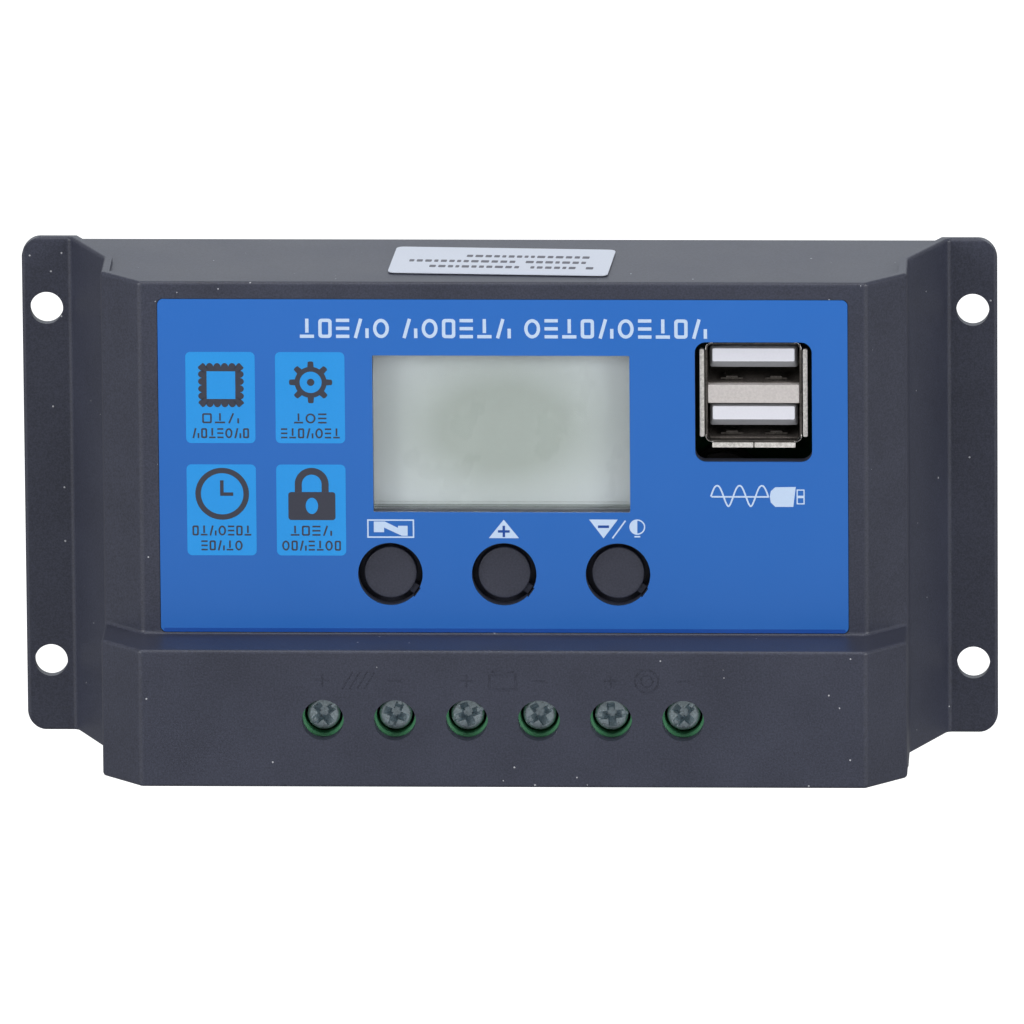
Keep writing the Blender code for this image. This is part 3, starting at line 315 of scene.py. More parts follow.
# %% Node group helpers
def new_group(name, inputs, outputs):
    """Empty shader node group with float or vector inputs and float outputs."""
    group = bpy.data.node_groups.new(name, "ShaderNodeTree")
    for label, kind, value in inputs:
        made = group.interface.new_socket(label, in_out="INPUT", socket_type=kind)
        if value is not None:
            made.default_value = value
    for label in outputs:
        group.interface.new_socket(label, in_out="OUTPUT", socket_type="NodeSocketFloat")
    return group, group.nodes.new("NodeGroupInput"), group.nodes.new("NodeGroupOutput")


def add_node(tree, kind, **values):
    """New node whose named inputs, or attributes, take the given values."""
    node = tree.nodes.new(kind)
    for key, value in values.items():
        if key in node.inputs:
            node.inputs[key].default_value = value
        else:
            setattr(node, key.lower(), value)
    return node


def link(tree, source, target):
    """Join an output socket to an input socket."""
    tree.links.new(source, target)


def maths(tree, operation, a, b):
    """One maths node: its inputs are sockets or numbers."""
    node = tree.nodes.new("ShaderNodeMath")
    node.operation = operation
    for socket, value in zip(node.inputs, (a, b)):
        if isinstance(value, bpy.types.NodeSocket):
            tree.links.new(value, socket)
        else:
            socket.default_value = value
    return node.outputs[0]


print("helpers for node groups ready, groups so far:", len(bpy.data.node_groups))


# %% The grain and dust groups
def grain_group():
    """Height of the mould's grain, and a slow mottle that varies gloss."""
    group, start, end = new_group(
        "mould_grain",
        [("Vector", "NodeSocketVector", None), ("Grain Scale", "NodeSocketFloat", 3500.0),
         ("Mottle Scale", "NodeSocketFloat", 120.0)],
        ["Height", "Mottle"])
    fine = add_node(group, "ShaderNodeTexNoise", Detail=3.0, Roughness=0.6)
    slow = add_node(group, "ShaderNodeTexNoise", Detail=4.0, Roughness=0.55)
    for node, scale in ((fine, "Grain Scale"), (slow, "Mottle Scale")):
        link(group, start.outputs["Vector"], node.inputs["Vector"])
        link(group, start.outputs[scale], node.inputs["Scale"])
    link(group, fine.outputs[0], end.inputs["Height"])
    link(group, slow.outputs[0], end.inputs["Mottle"])
    return group


def dust_group():
    """Mask of sparse specks: cells whose random value is high keep a dot near their centre."""
    group, start, end = new_group(
        "dust_specks",
        [("Vector", "NodeSocketVector", None), ("Cell Scale", "NodeSocketFloat", 700.0),
         ("Share", "NodeSocketFloat", 0.06), ("Size", "NodeSocketFloat", 0.1)],
        ["Mask"])
    cells = add_node(group, "ShaderNodeTexVoronoi")
    link(group, start.outputs["Vector"], cells.inputs["Vector"])
    link(group, start.outputs["Cell Scale"], cells.inputs["Scale"])
    pick = add_node(group, "ShaderNodeSeparateColor")
    link(group, cells.outputs["Color"], pick.inputs[0])
    chosen = maths(group, "LESS_THAN", pick.outputs[0], start.outputs["Share"])
    size = maths(group, "MULTIPLY", pick.outputs[1], start.outputs["Size"])
    near = maths(group, "LESS_THAN", cells.outputs["Distance"], size)
    link(group, maths(group, "MULTIPLY", chosen, near), end.inputs["Mask"])
    return group


GRAIN = grain_group()
DUST = dust_group()
print("node groups:", GRAIN.name, DUST.name)

# %% [markdown]
# ## A recipe for finishes
# Every finish starts from one recipe: a base colour that the mottle shifts slightly, dust specks
# on top, a roughness that follows the mottle, and a fine bump. `linear` turns the colours an eye
# reads off a screen into the linear values that the shader mixes.

# %% Finish recipe
def linear(r, g, b):
    """Screen colour from 0 to 255 to linear light: divide by 255 and undo the screen curve."""
    c = np.array([r, g, b]) / 255
    return tuple(np.where(c <= 0.04045, c / 12.92, ((c + 0.055) / 1.055) ** 2.4)) + (1.0,)


def mix_colours(tree, factor, a, b):
    """Colour mix node: factor, a and b are sockets or values."""
    node = tree.nodes.new("ShaderNodeMix")
    node.data_type = "RGBA"
    for socket, value in ((node.inputs[0], factor), (node.inputs[6], a), (node.inputs[7], b)):
        if isinstance(value, bpy.types.NodeSocket):
            tree.links.new(value, socket)
        else:
            socket.default_value = value
    return node.outputs[2]


def ramp(tree, value, low, high, out_low=0.0, out_high=1.0):
    """Clamped straight-line map of a value."""
    node = tree.nodes.new("ShaderNodeMapRange")
    for key, number in zip(("From Min", "From Max", "To Min", "To Max"),
                           (low, high, out_low, out_high)):
        node.inputs[key].default_value = number
    tree.links.new(value, node.inputs["Value"])
    return node.outputs[0]


def recipe(name, colour, rough, metallic=0.0, grain=3500.0, bump=0.012, mottle=120.0,
           shift=0.06, rough_shift=0.06, dust=0.0, coat=0.0, paint=None):
    """Principled material. bump is the grain's height in millimetres, shift how far the mottle
    moves the colour, and paint an optional function that draws on the colour."""
    material = bpy.data.materials.new(name)
    material.use_nodes = True
    tree = material.node_tree
    shader = tree.nodes["Principled BSDF"]
    shader.inputs["Metallic"].default_value = metallic
    shader.inputs["Coat Weight"].default_value = coat
    shader.inputs["Coat Roughness"].default_value = 0.08
    place = tree.nodes.new("ShaderNodeTexCoord").outputs["Object"]
    grained = tree.nodes.new("ShaderNodeGroup")
    grained.node_tree = GRAIN
    link(tree, place, grained.inputs["Vector"])
    grained.inputs["Grain Scale"].default_value = grain
    grained.inputs["Mottle Scale"].default_value = mottle
    patch = grained.outputs["Mottle"]
    base = linear(*colour)
    dark = tuple(c * (1 - shift) for c in base[:3]) + (1.0,)
    light = tuple(min(1, c * (1 + shift)) for c in base[:3]) + (1.0,)
    both = maths(tree, "ADD", maths(tree, "MULTIPLY", patch, 0.3), grained.outputs["Height"])
    shade = mix_colours(tree, ramp(tree, both, 0.47, 0.83), dark, light)
    if paint:
        shade = paint(tree, place, shade)
    if dust:
        specks = tree.nodes.new("ShaderNodeGroup")
        specks.node_tree = DUST
        link(tree, place, specks.inputs["Vector"])
        specks.inputs["Share"].default_value = dust
        shade = mix_colours(tree, specks.outputs["Mask"], shade, linear(176, 178, 184))
    link(tree, shade, shader.inputs["Base Color"])
    link(tree, ramp(tree, patch, 0.3, 0.7, rough - rough_shift, rough + rough_shift),
         shader.inputs["Roughness"])
    if bump:
        height = tree.nodes.new("ShaderNodeBump")
        height.inputs["Strength"].default_value = 1.0
        height.inputs["Distance"].default_value = bump * MM
        link(tree, grained.outputs["Height"], height.inputs["Height"])
        link(tree, height.outputs[0], shader.inputs["Normal"])
    return material


print("mid grey in linear light:", round(linear(128, 128, 128)[0], 3))

# %% [markdown]
# ## The camera and the light
# A catalogue view is taken from far away with a long lens, so that near and far edges have almost
# the same length. Here the camera stands three metres off, fifteen degrees above the front and
# a little to the right, and a small roll keeps the long edges level. The light is a white tent:
# an even glow from all sides, and soft panels above, left, right and behind, because flat
# plastic only shows its form by what it reflects.

# %% Camera
DISTANCE = 3.0
VIEW_WIDTH = 0.14046  # what the picture spans at the wall
AZIMUTH, ELEVATION = math.radians(2.3), math.radians(15.0)
AIM_RIGHT, AIM_UP = 0.12 * MM, -4.03 * MM  # picture's centre against the object's origin

backward = Vector((math.sin(AZIMUTH) * math.cos(ELEVATION),
                   -math.cos(AZIMUTH) * math.cos(ELEVATION), math.sin(ELEVATION)))
roll = -0.76 * math.atan(math.tan(AZIMUTH) * math.sin(ELEVATION))  # levels the long edges
turn = backward.to_track_quat("Z", "Y") @ Quaternion((0, 0, 1), roll)
aim = turn @ Vector((AIM_RIGHT, AIM_UP, 0))
lens = bpy.data.cameras.new("camera")
lens.sensor_width = 36.0
lens.lens = lens.sensor_width * DISTANCE / VIEW_WIDTH
lens.clip_start, lens.clip_end = 0.1, 50.0
camera = bpy.data.objects.new("camera", lens)
camera.location = aim + backward * DISTANCE
camera.rotation_mode = "QUATERNION"
camera.rotation_quaternion = turn
bpy.context.scene.collection.objects.link(camera)
bpy.context.scene.camera = camera
print("camera at", [round(v, 3) for v in camera.location], "lens", round(lens.lens, 1))

# %% Light tent
TENT_GLOW = 0.34  # glow that lights the object; the backdrop itself shows as plain white


def soft_panel(name, place, size, watts):
    """Square light that looks at the object and isn't seen itself."""
    lamp = bpy.data.lights.new(name, "AREA")
    lamp.size = size
    lamp.energy = watts
    item = bpy.data.objects.new(name, lamp)
    item.location = place
    item.rotation_mode = "QUATERNION"
    item.rotation_quaternion = Vector(place).to_track_quat("Z", "Y")
    item.visible_camera = False
    bpy.context.scene.collection.objects.link(item)
    return item


tent = bpy.data.worlds.new("tent")
tent.use_nodes = True
bpy.context.scene.world = tent
nodes = tent.node_tree.nodes
glow = nodes["Background"]
glow.inputs["Color"].default_value = (1, 1, 1, 1)
glow.inputs["Strength"].default_value = TENT_GLOW
backdrop = nodes.new("ShaderNodeBackground")
backdrop.inputs["Color"].default_value = (1, 1, 1, 1)
seen = nodes.new("ShaderNodeLightPath")
chooser = nodes.new("ShaderNodeMixShader")
link(tent.node_tree, seen.outputs["Is Camera Ray"], chooser.inputs[0])
link(tent.node_tree, glow.outputs[0], chooser.inputs[1])
link(tent.node_tree, backdrop.outputs[0], chooser.inputs[2])
link(tent.node_tree, chooser.outputs[0], nodes["World Output"].inputs["Surface"])
soft_panel("top_panel", (0.0, -0.25, 1.1), 0.9, 5.5)
soft_panel("left_panel", (-1.2, -1.0, 0.4), 0.7, 14.0)
soft_panel("right_panel", (1.2, -1.0, 0.4), 0.7, 13.5)
soft_panel("rear_panel", (0.0, 1.1, 0.42), 1.0, 2.7).data.color = (0.84, 0.91, 1.0)
bpy.context.scene.view_settings.view_transform = "Standard"

# %% [markdown]
# ## The floor
# A product stands on a paper sweep. Here it is one square far below the object, in a rough pale
# grey that sends a little light up from below, and it shows as plain white to the camera.

# %% Floor
FLOOR_DROP = 0.25
FLOOR_HALF = 6.0
floor = piece("floor", (world(np.array([-1, 1, 1, -1]) * FLOOR_HALF, SHELL.z0 - FLOOR_DROP,
                              np.array([-1, -1, 1, 1]) * FLOOR_HALF), [[0, 1, 2, 3]]))
pale = bpy.data.materials.new("pale_floor")
pale.use_nodes = True
pale_shader = pale.node_tree.nodes["Principled BSDF"]
pale_shader.inputs["Base Color"].default_value = (0.3, 0.3, 0.3, 1)
pale_shader.inputs["Roughness"].default_value = 1.0
pale_shader.inputs["Specular IOR Level"].default_value = 0.0
pale_shader.inputs["Emission Color"].default_value = (1, 1, 1, 1)
direct = pale.node_tree.nodes.new("ShaderNodeLightPath").outputs["Is Camera Ray"]
link(pale.node_tree, ramp(pale.node_tree, direct, 0, 1, 0.06, 1.0),
     pale_shader.inputs["Emission Strength"])
floor.data.materials.append(pale)
print("floor:", round(FLOOR_DROP / MM), "mm below the case")

# %% [markdown]
# ## Finishes of the case and the print
# The case is satin charcoal plastic. Its ears and slopes catch the light differently, but that
# comes from their angles, so one material serves them all. Its grain is a bump and a faint
# change of colour: modelled, it would cost millions of faces. The label is a printed film, a
# little glossier. Its blue is painted a touch lighter towards its upper edge: painted light, a
# lighter top where more light falls. That change follows the height on the piece, so it stays
# in place wherever the camera stands.

# %% Case and label finishes
def label_painted_light(tree, place, shade):
    """Painted light on the blue: it brightens slowly towards the label's top, where more light
    falls. Height, mapped to a mix.
    """
    axes = tree.nodes.new("ShaderNodeSeparateXYZ")
    link(tree, place, axes.inputs[0])
    high = ramp(tree, axes.outputs["Z"], LABEL.z0, LABEL.z1)
    return mix_colours(tree, high, shade, linear(40, 106, 190))


CASE = recipe("case_black", (53, 56, 70), 0.44, grain=4200, bump=0.014, mottle=90,
              shift=0.3, rough_shift=0.02, dust=0.12)
# The label's blue carries painted light: it is lighter towards its top.
BLUE = recipe("label_blue", (40, 100, 179), 0.36, grain=6500, bump=0.002, mottle=60,
              shift=0.02, paint=label_painted_light)
TILE_BLUE = recipe("tile_blue", (40, 147, 224), 0.36, bump=0.002, shift=0.02)
EDGE_BLUE = recipe("label_edge", (20, 70, 150), 0.4, bump=0.002, shift=0.04)
PRINT_WHITE = recipe("print_white", (192, 212, 238), 0.4, bump=0.0015, shift=0.02)
PRINT_GREY = recipe("print_grey", (58, 60, 72), 0.4, bump=0.0015, shift=0.03)
STICKER = recipe("sticker_paper", (205, 212, 226), 0.5, grain=4200, bump=0.004, shift=0.02)
INK = recipe("sticker_ink", (86, 88, 100), 0.5, bump=0.001, shift=0.04)
print("finishes so far:", len(bpy.data.materials))

# %% [markdown]
# ## Finishes of the metal, the display and the rest
# Plated steel reads as light, slightly uneven metal: a small mottle moves both its colour and
# its gloss. A fully metallic surface in a white tent turns either black or white, so the metals
# that face the light are only part metallic. What sits inside the case hardly shows, but each
# part still gets the finish of its real material.

# %% Metal and other finishes
STEEL = recipe("zinc_steel", (196, 212, 220), 0.28, metallic=0.5, grain=2600, bump=0.003,
               mottle=700, shift=0.18, rough_shift=0.08)
DARK_STEEL = recipe("dark_screw", (92, 92, 96), 0.35, metallic=1.0, mottle=500, shift=0.1)
# The socket's nickel is darkened: a painted shade for the dark that its plated mouth shows.
NICKEL = recipe("usb_nickel", (104, 100, 96), 0.3, metallic=0.9, grain=2400, bump=0.003,
                mottle=420, shift=0.3, rough_shift=0.08)
# Bright nickel is a lit copy of the socket's plating: a painted highlight for the mouth's corners
# and tabs.
NICKEL_HIGHLIGHT = recipe("nickel_painted_highlight", (232, 229, 224), 0.32, metallic=0.35, grain=2400, bump=0.004,
                mottle=600, shift=0.22, rough_shift=0.06)
# A darker copy of the plating for the socket's inside: painted shade.
NICKEL_SHADE = recipe("nickel_painted_shade", (112, 106, 102), 0.5, metallic=0.6, mottle=900, shift=0.5)
BRASS = recipe("clamp_brass", (190, 176, 140), 0.3, metallic=1.0, mottle=500, shift=0.12)
ALUMINIUM = recipe("sink_aluminium", (170, 172, 176), 0.4, metallic=1.0, mottle=300)
WHITE = recipe("usb_white", (220, 221, 230), 0.34, bump=0.003, mottle=260, shift=0.02)
# The tongues' grey is painted shade on their white plastic: their underside and nose face away from
# the light.
TONGUE_SHADE = recipe("usb_tongue", (156, 157, 162), 0.4, bump=0.003, mottle=260, shift=0.04)
DIVIDER = recipe("usb_divider", (196, 191, 189), 0.36, bump=0.003, mottle=500, shift=0.08)
DARK = recipe("dark_plastic", (24, 26, 30), 0.45, bump=0.006, shift=0.08)
CAP = recipe("button_black", (53, 55, 67), 0.42, grain=4200, bump=0.01, shift=0.2, dust=0.1)
GREEN = recipe("terminal_green", (66, 132, 92), 0.4, bump=0.006, mottle=200, shift=0.08)
BOARD = recipe("board_green", (14, 78, 44), 0.35, bump=0.003, mottle=160, shift=0.1)
FRAME_WHITE = recipe("frame_white", (206, 210, 206), 0.45, bump=0.006, shift=0.03)
GUIDE = recipe("light_guide", (222, 228, 222), 0.3, bump=0.002, shift=0.02)
PAD = recipe("pad_grey", (120, 124, 130), 0.7, bump=0.01, shift=0.06)
SLEEVE = recipe("capacitor_sleeve", (26, 34, 60), 0.3, bump=0.003, shift=0.04)
FERRITE = recipe("ferrite", (52, 50, 50), 0.65, bump=0.02, shift=0.08)
CHIP = recipe("component_black", (34, 35, 38), 0.5, bump=0.008, shift=0.08)


def clear_finish():
    """Clear film: a thin, hard, colourless sheet that light passes straight through."""
    material = recipe("clear_window", (250, 252, 255), 0.06, bump=0.0008, mottle=80, shift=0.004,
                      rough_shift=0.02)
    shader = material.node_tree.nodes["Principled BSDF"]
    shader.inputs["Transmission Weight"].default_value = 1.0
    shader.inputs["IOR"].default_value = 1.45
    shader.inputs["Alpha"].default_value = 0.35
    return material


CLEAR = clear_finish()
print("finishes in all:", len(bpy.data.materials))

# %% [markdown]
# ## The case
# The case is one moulding: thin ears against the wall, steep sloping sides, a flat front with
# chamfered sides, and a raised cover across the bottom. It is a prism: the section across its
# width runs down its height. So the body is the outline of that section pulled upwards, and the
# cover is a shorter prism on top. Its end walls sit a little inside, which leaves a thin lip.

# %% Case sizes and its main block
FACE_DEPTH, COVER_DEPTH = LABEL.far, SHELL.far
EAR_X, FOOT_X, SIDE_X, FRONT_X = SHELL.x1, 60.0 * MM, 54.85 * MM, 49.35 * MM
EAR_DEPTH, SLOPE_TOP = 1.5 * MM, 12.5 * MM
CHAMFER = SIDE_X - FRONT_X
BODY_TOP, BODY_LOW = SHELL.z1 - 0.6 * MM, SHELL.z0 + 1.2 * MM
COVER_TOP = -14.5 * MM
LIP, WALL = 1.2 * MM, 2.0 * MM
EDGE_ROUND, EAR_CORNER = 0.5 * MM, 3.0 * MM
HOOD_FOOT = 3 * MM  # how far above the slope the cover's prism starts


def skin(front):
    """Half outline of the case's section: crease at the ear, slope, side, chamfer, front."""
    return [(FOOT_X, EAR_DEPTH), (SIDE_X, SLOPE_TOP), (SIDE_X, front - CHAMFER), (FRONT_X, front)]


def inside(front, thickness, foot):
    """Half outline one thickness inside the skin, carried straight back behind the wall plane
    from a foot point."""
    chain = offset_chain(skin(front) + [(0, front)], thickness)
    return [(foot[0], -MM), foot] + chain[1:-1].tolist()


def case_solid():
    """Ears, slopes and front as one prism with rounded ear corners, and the cover's prism."""
    half = [(EAR_X, 0), (EAR_X, EAR_DEPTH)] + skin(FACE_DEPTH)
    case = piece("case", drawn(mirrored(half), SHELL.z0, SHELL.z1, "up"))
    hood = [(SIDE_X, SLOPE_TOP + HOOD_FOOT)] + skin(COVER_DEPTH)[2:]
    carve(case, drawn(mirrored(hood), BODY_LOW, COVER_TOP, "up"), how="UNION")
    soften(case, EDGE_ROUND, 5, 18, limited=False)
    hair = 0.01 * MM
    plan = rounded(-EAR_X - hair, EAR_X + hair, SHELL.z0 - hair, SHELL.z1 + hair, EAR_CORNER, 16)
    return carve(case, drawn(plan, -MM, COVER_DEPTH + MM), how="INTERSECT")


case = case_solid()
lip = mirrored(inside(FACE_DEPTH, LIP, (FOOT_X - 0.6 * MM, 0)))
carve(case, drawn(lip, BODY_TOP, SHELL.z1 + MM, "up"), drawn(lip, SHELL.z0 - MM, BODY_LOW, "up"))
print("case block:", len(case.data.polygons), "faces")

# %% [markdown]
# ## Openings of the case
# The hollow follows the same section one wall thickness in. Then come the label's shallow
# recess, the display opening, the button holes with their keyed notches, the USB cut-out, the
# six screwdriver holes, the wire entries in the bottom wall and the screw holes in the ears.
# The faces round each hole could be laid out by hand, but cutters repeat for every hole and
# leave a closed wall, so each opening is one more solid in the list of cuts.

# %% Hollow and openings
HOLE_SIDES = 96
KEY_TURN = math.radians(-35)
HOLE_RADIUS, KEY_WIDTH = 4.4 * MM, 1.5 * MM
CUTOUT_HALF, CUTOUT_HEIGHT = 7.95 * MM, 16.8 * MM
CUTOUT_TOP = USB.z1 + 0.2 * MM
CUTOUT = (USB.x - CUTOUT_HALF, USB.x + CUTOUT_HALF, CUTOUT_TOP - CUTOUT_HEIGHT, CUTOUT_TOP)
DRIVER_RADIUS = 2.85 * MM
EAR_HOLE_X, EAR_HOLE_Z, EAR_HOLE_RADIUS = 63.4 * MM, 25.0 * MM, 2.25 * MM
FILM = 0.3 * MM
OPENING = (WINDOW.x0 - 0.42 * MM, WINDOW.x1 + 0.42 * MM, WINDOW.z0 - 0.25 * MM,
           WINDOW.z1 + 0.25 * MM)
LABEL_CORNER, OPENING_CORNER, CUTOUT_CORNER = 0.8 * MM, 0.15 * MM, 1.5 * MM
ENTRY_HALF, ENTRY_NEAR, ENTRY_FAR = 3 * MM, 9.9 * MM, 17.2 * MM  # wire entries below
THROUGH_FRONT = (FACE_DEPTH - 4 * MM, FACE_DEPTH + MM)


def keyed_hole(side):
    """A round hole's outline with a notch at its lower right: the radius steps out to a
    straight-sided tab round the notch's angle."""
    box = BUTTONS[side]
    reach = HOLE_RADIUS + 0.12 * MM
    start = (box.x, box.z)
    end = (box.x + reach * math.cos(KEY_TURN), box.z + reach * math.sin(KEY_TURN))
    return [drawn(ellipse(box.x, box.z, HOLE_RADIUS, count=HOLE_SIDES), *THROUGH_FRONT),
            drawn(strip(start, end, KEY_WIDTH), *THROUGH_FRONT)]


# %% Cut the hollow and the openings
hollow_top, hollow_low = BODY_TOP - WALL, BODY_LOW + WALL
seat = (COVER.x1 + FILM, COVER.far)
hood = [(SIDE_X - WALL, SLOPE_TOP + HOOD_FOOT + MM)] + inside(COVER_DEPTH, WALL, seat)[3:]
cuts = [drawn(mirrored(inside(FACE_DEPTH, WALL, seat)), hollow_low, hollow_top, "up"),
        drawn(mirrored(hood), hollow_low, COVER_TOP - WALL, "up")]
recess = rounded(LABEL.x0 - FILM / 4, LABEL.x1 + FILM / 4, LABEL.z0 - FILM / 4,
                 LABEL.z1 + FILM / 4, LABEL_CORNER, 12)
cuts.append(drawn(recess, LABEL.near, FACE_DEPTH + MM))
cuts.append(drawn(rounded(*OPENING, OPENING_CORNER, 4), *THROUGH_FRONT))
cuts.append(drawn(rounded(*CUTOUT, CUTOUT_CORNER, 8), *THROUGH_FRONT))
for side in BUTTONS:
    cuts += keyed_hole(side)
for screw in SCREWS:
    cuts.append(drawn(ellipse(screw.x, screw.z, DRIVER_RADIUS, count=HOLE_SIDES),
                      COVER_DEPTH - 4 * MM, COVER_DEPTH + MM))
    entry = rounded(screw.x - ENTRY_HALF, screw.x + ENTRY_HALF, ENTRY_NEAR, ENTRY_FAR, 0.6 * MM)
    cuts.append(drawn(entry, BODY_LOW - MM, hollow_low + MM, "up"))
for x in (-EAR_HOLE_X, EAR_HOLE_X):
    for z in (-EAR_HOLE_Z, EAR_HOLE_Z):
        cuts.append(drawn(ellipse(x, z, EAR_HOLE_RADIUS, count=HOLE_SIDES), -MM, EAR_DEPTH + MM))
carve(case, *cuts)
print("case with openings:", len(case.data.polygons), "faces")

# %% [markdown]
# ## Symbols in the cover
# Over the screws the mould leaves faint symbols: plus and minus for each pair of poles, and a
# sign for what the pair serves. Bump could draw them, but they are part of the mould, so they
# are cut as shapes, less than 0.1 mm deep: only a slanting light finds them.

# %% Faint symbols
SIGN_Z = -18.7 * MM
SIGN_DEPTH = 0.07 * MM
STROKE = 0.22 * MM


def sunk(outline):
    """Shallow cut in the cover's front."""
    return drawn(outline, COVER_DEPTH - SIGN_DEPTH, COVER_DEPTH + MM)


def plus(x, z, arm, width):
    """Outline of a plus: the twelve corners where two crossing bars meet, as one loop."""
    a, w = arm, width / 2
    corners = [(a, -w), (a, w), (w, w), (w, a), (-w, a), (-w, w), (-a, w), (-a, -w), (-w, -w),
               (-w, -a), (w, -a), (w, -w)]
    return np.array(corners) + [x, z]


def sunk_ring(outer, inner):
    """Shallow groove between two loops in the cover's front."""
    return ring(outer, inner, COVER_DEPTH - SIGN_DEPTH, COVER_DEPTH + MM)


signs = []
arm = 0.9 * MM
for n, screw in enumerate(SCREWS):
    bar = strip((screw.x - arm, SIGN_Z), (screw.x + arm, SIGN_Z), STROKE)
    signs.append(sunk(bar if n % 2 else plus(screw.x, SIGN_Z, arm, STROKE)))
panel_x, cell_x, lamp_x = -19.6 * MM, 0.0, 19.6 * MM
for k in range(4):
    x = panel_x + (k - 1.5) * 1.0 * MM
    signs.append(sunk(strip((x - 0.7 * MM, SIGN_Z - 1.2 * MM), (x + 0.7 * MM, SIGN_Z + 1.2 * MM),
                            STROKE)))
outer = rounded(cell_x - 1.9 * MM, cell_x + 1.9 * MM, SIGN_Z - 1.3 * MM, SIGN_Z + 1.0 * MM,
                0.2 * MM, 3)
inner = rounded(cell_x - 1.6 * MM, cell_x + 1.6 * MM, SIGN_Z - 1.0 * MM, SIGN_Z + 0.7 * MM,
                0.1 * MM, 3)
signs.append(sunk_ring(outer, inner))
for x in (-1.1 * MM, 1.1 * MM):
    signs.append(sunk(strip((x - 0.4 * MM, SIGN_Z + 1.3 * MM), (x + 0.4 * MM, SIGN_Z + 1.3 * MM),
                            STROKE)))
signs.append(sunk_ring(ellipse(lamp_x, SIGN_Z, 1.7 * MM, count=48),
                       ellipse(lamp_x, SIGN_Z, 1.45 * MM, count=48)))
signs.append(sunk_ring(ellipse(lamp_x, SIGN_Z, 0.9 * MM, count=48),
                       ellipse(lamp_x, SIGN_Z, 0.7 * MM, count=48)))
carve(case, gather(signs))
settle(case, "case", CASE, "front_shell", crease=30)
print("case:", len(case.data.polygons), "faces")

# %% [markdown]
# ## The printed label
# The label is one polycarbonate film let into the front. It is opaque blue where it is printed,
# has a clear window over the display, and is punched for the buttons and the USB socket. Its
# print is a hair thicker than the film, so each colour is a group of very thin plates on top.

# %% Label film and its clear window
HAIR = 0.005 * MM
PRINT = 0.018 * MM
label = piece("label", drawn(rounded(LABEL.x0, LABEL.x1, LABEL.z0, LABEL.z1, LABEL_CORNER, 12),
                             LABEL.near, LABEL.far))
through = (LABEL.near - MM, LABEL.far + MM)
punches = [drawn(rounded(*OPENING, OPENING_CORNER, 4), *through),
           drawn(rounded(*CUTOUT, CUTOUT_CORNER, 8), *through)]
for side in BUTTONS:
    punches += keyed_hole(side)
carve(label, *punches)
soften(label, 0.05 * MM, 2, 50)
settle(label, "case", BLUE, "label_film")

gap = 0.01 * MM
x0, x1, z0, z1 = OPENING
pane = rounded(x0 + gap, x1 - gap, z0 + gap, z1 - gap, OPENING_CORNER, 4)
window = piece("window", drawn(pane, LABEL.near, LABEL.far))
settle(window, "case", CLEAR, "display_window")
print("label:", len(label.data.polygons), "faces")

# %% [markdown]
# ## What is printed on the label
# White print: a title line, captions and the small signs over the buttons and beside the USB
# socket. The words are greeked: plain bars and rings in the rhythm of letters, which say
# nothing. The four light-blue tiles each carry a dark icon and two dark caption lines.

# %% Helpers for the print
def flat(outline, lift=0):
    """One printed shape on the label: a plate a few hundredths of a millimetre thick."""
    base = LABEL.far - HAIR + lift * PRINT
    return drawn(outline, base, base + PRINT + HAIR)


def flat_ring(outer, inner, lift=0):
    """One printed ring; lift counts the thicknesses of print that lie under it."""
    base = LABEL.far - HAIR + lift * PRINT
    return ring(outer, inner, base, base + PRINT + HAIR)


def greeked(x0, x1, z, cap, seed, counts, lift=0, stroke=0.17):
    """Greeked words between x0 and x1 on the baseline z: plain shapes of a letter's size, counts
    of them per word. Their order is a fixed random one, and their widths fill the line."""
    pick = np.random.default_rng(seed)
    marks, pen = [], 0.0
    for count in counts:
        for kind in np.resize(pick.permutation([1, 2, 5, 4, 3]), count).tolist():
            width = {1: 0.74, 2: 0.62, 3: 0.66, 4: 0.7, 5: 0.62}[kind]
            marks.append((kind, pen, width))
            pen += width + 0.2
        pen += 0.42
    scale = (x1 - x0) / (pen - 0.62)
    shapes = []
    w, half = stroke * cap, cap / 2
    for kind, start, width in marks:
        a, b = x0 + start * scale, x0 + (start + width) * scale
        middle = ((a + b) / 2, z + half)
        if kind == 1:
            shapes.append(flat_ring(ellipse(*middle, (b - a) / 2, half, 32),
                                    ellipse(*middle, (b - a) / 2 - w, half - w, 32), lift))
        elif kind == 2:
            for height in (w / 2, half, cap - w / 2):
                shapes.append(flat(strip((a, z + height), (b, z + height), w), lift))
        elif kind == 3:
            shapes.append(flat(strip((a, z + w / 2), (b, z + w / 2), w), lift))
            shapes.append(flat(strip((middle[0], z + 1.6 * w), (middle[0], z + cap), w), lift))
        elif kind == 4:
            shapes.append(flat(strip((a + w / 2, z), (middle[0] - w * 0.1, z + cap), w), lift))
            shapes.append(flat(strip((b - w / 2, z), (b - w / 2, z + half), w), lift))
        else:
            shapes.append(flat_ring(rounded(a, b, z, z + cap, w, 6),
                                    rounded(a + w, b - w, z + w, z + cap - w, w / 3, 6), lift))
    return shapes


def printed(name, shapes, material):
    """One colour of print as a piece that rides on the case."""
    item = piece(name, gather(shapes))
    item.data.materials.append(material)
    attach(item, "case")
    PIECES.append(item)
    return item


# %% Tiles and a knobbed outline
TILE_HALF = (4.72 * MM, 6.4 * MM)
TILES = [(x * MM, z * MM) for z in (18.8, 3.0) for x in (-38.4, -26.2)]


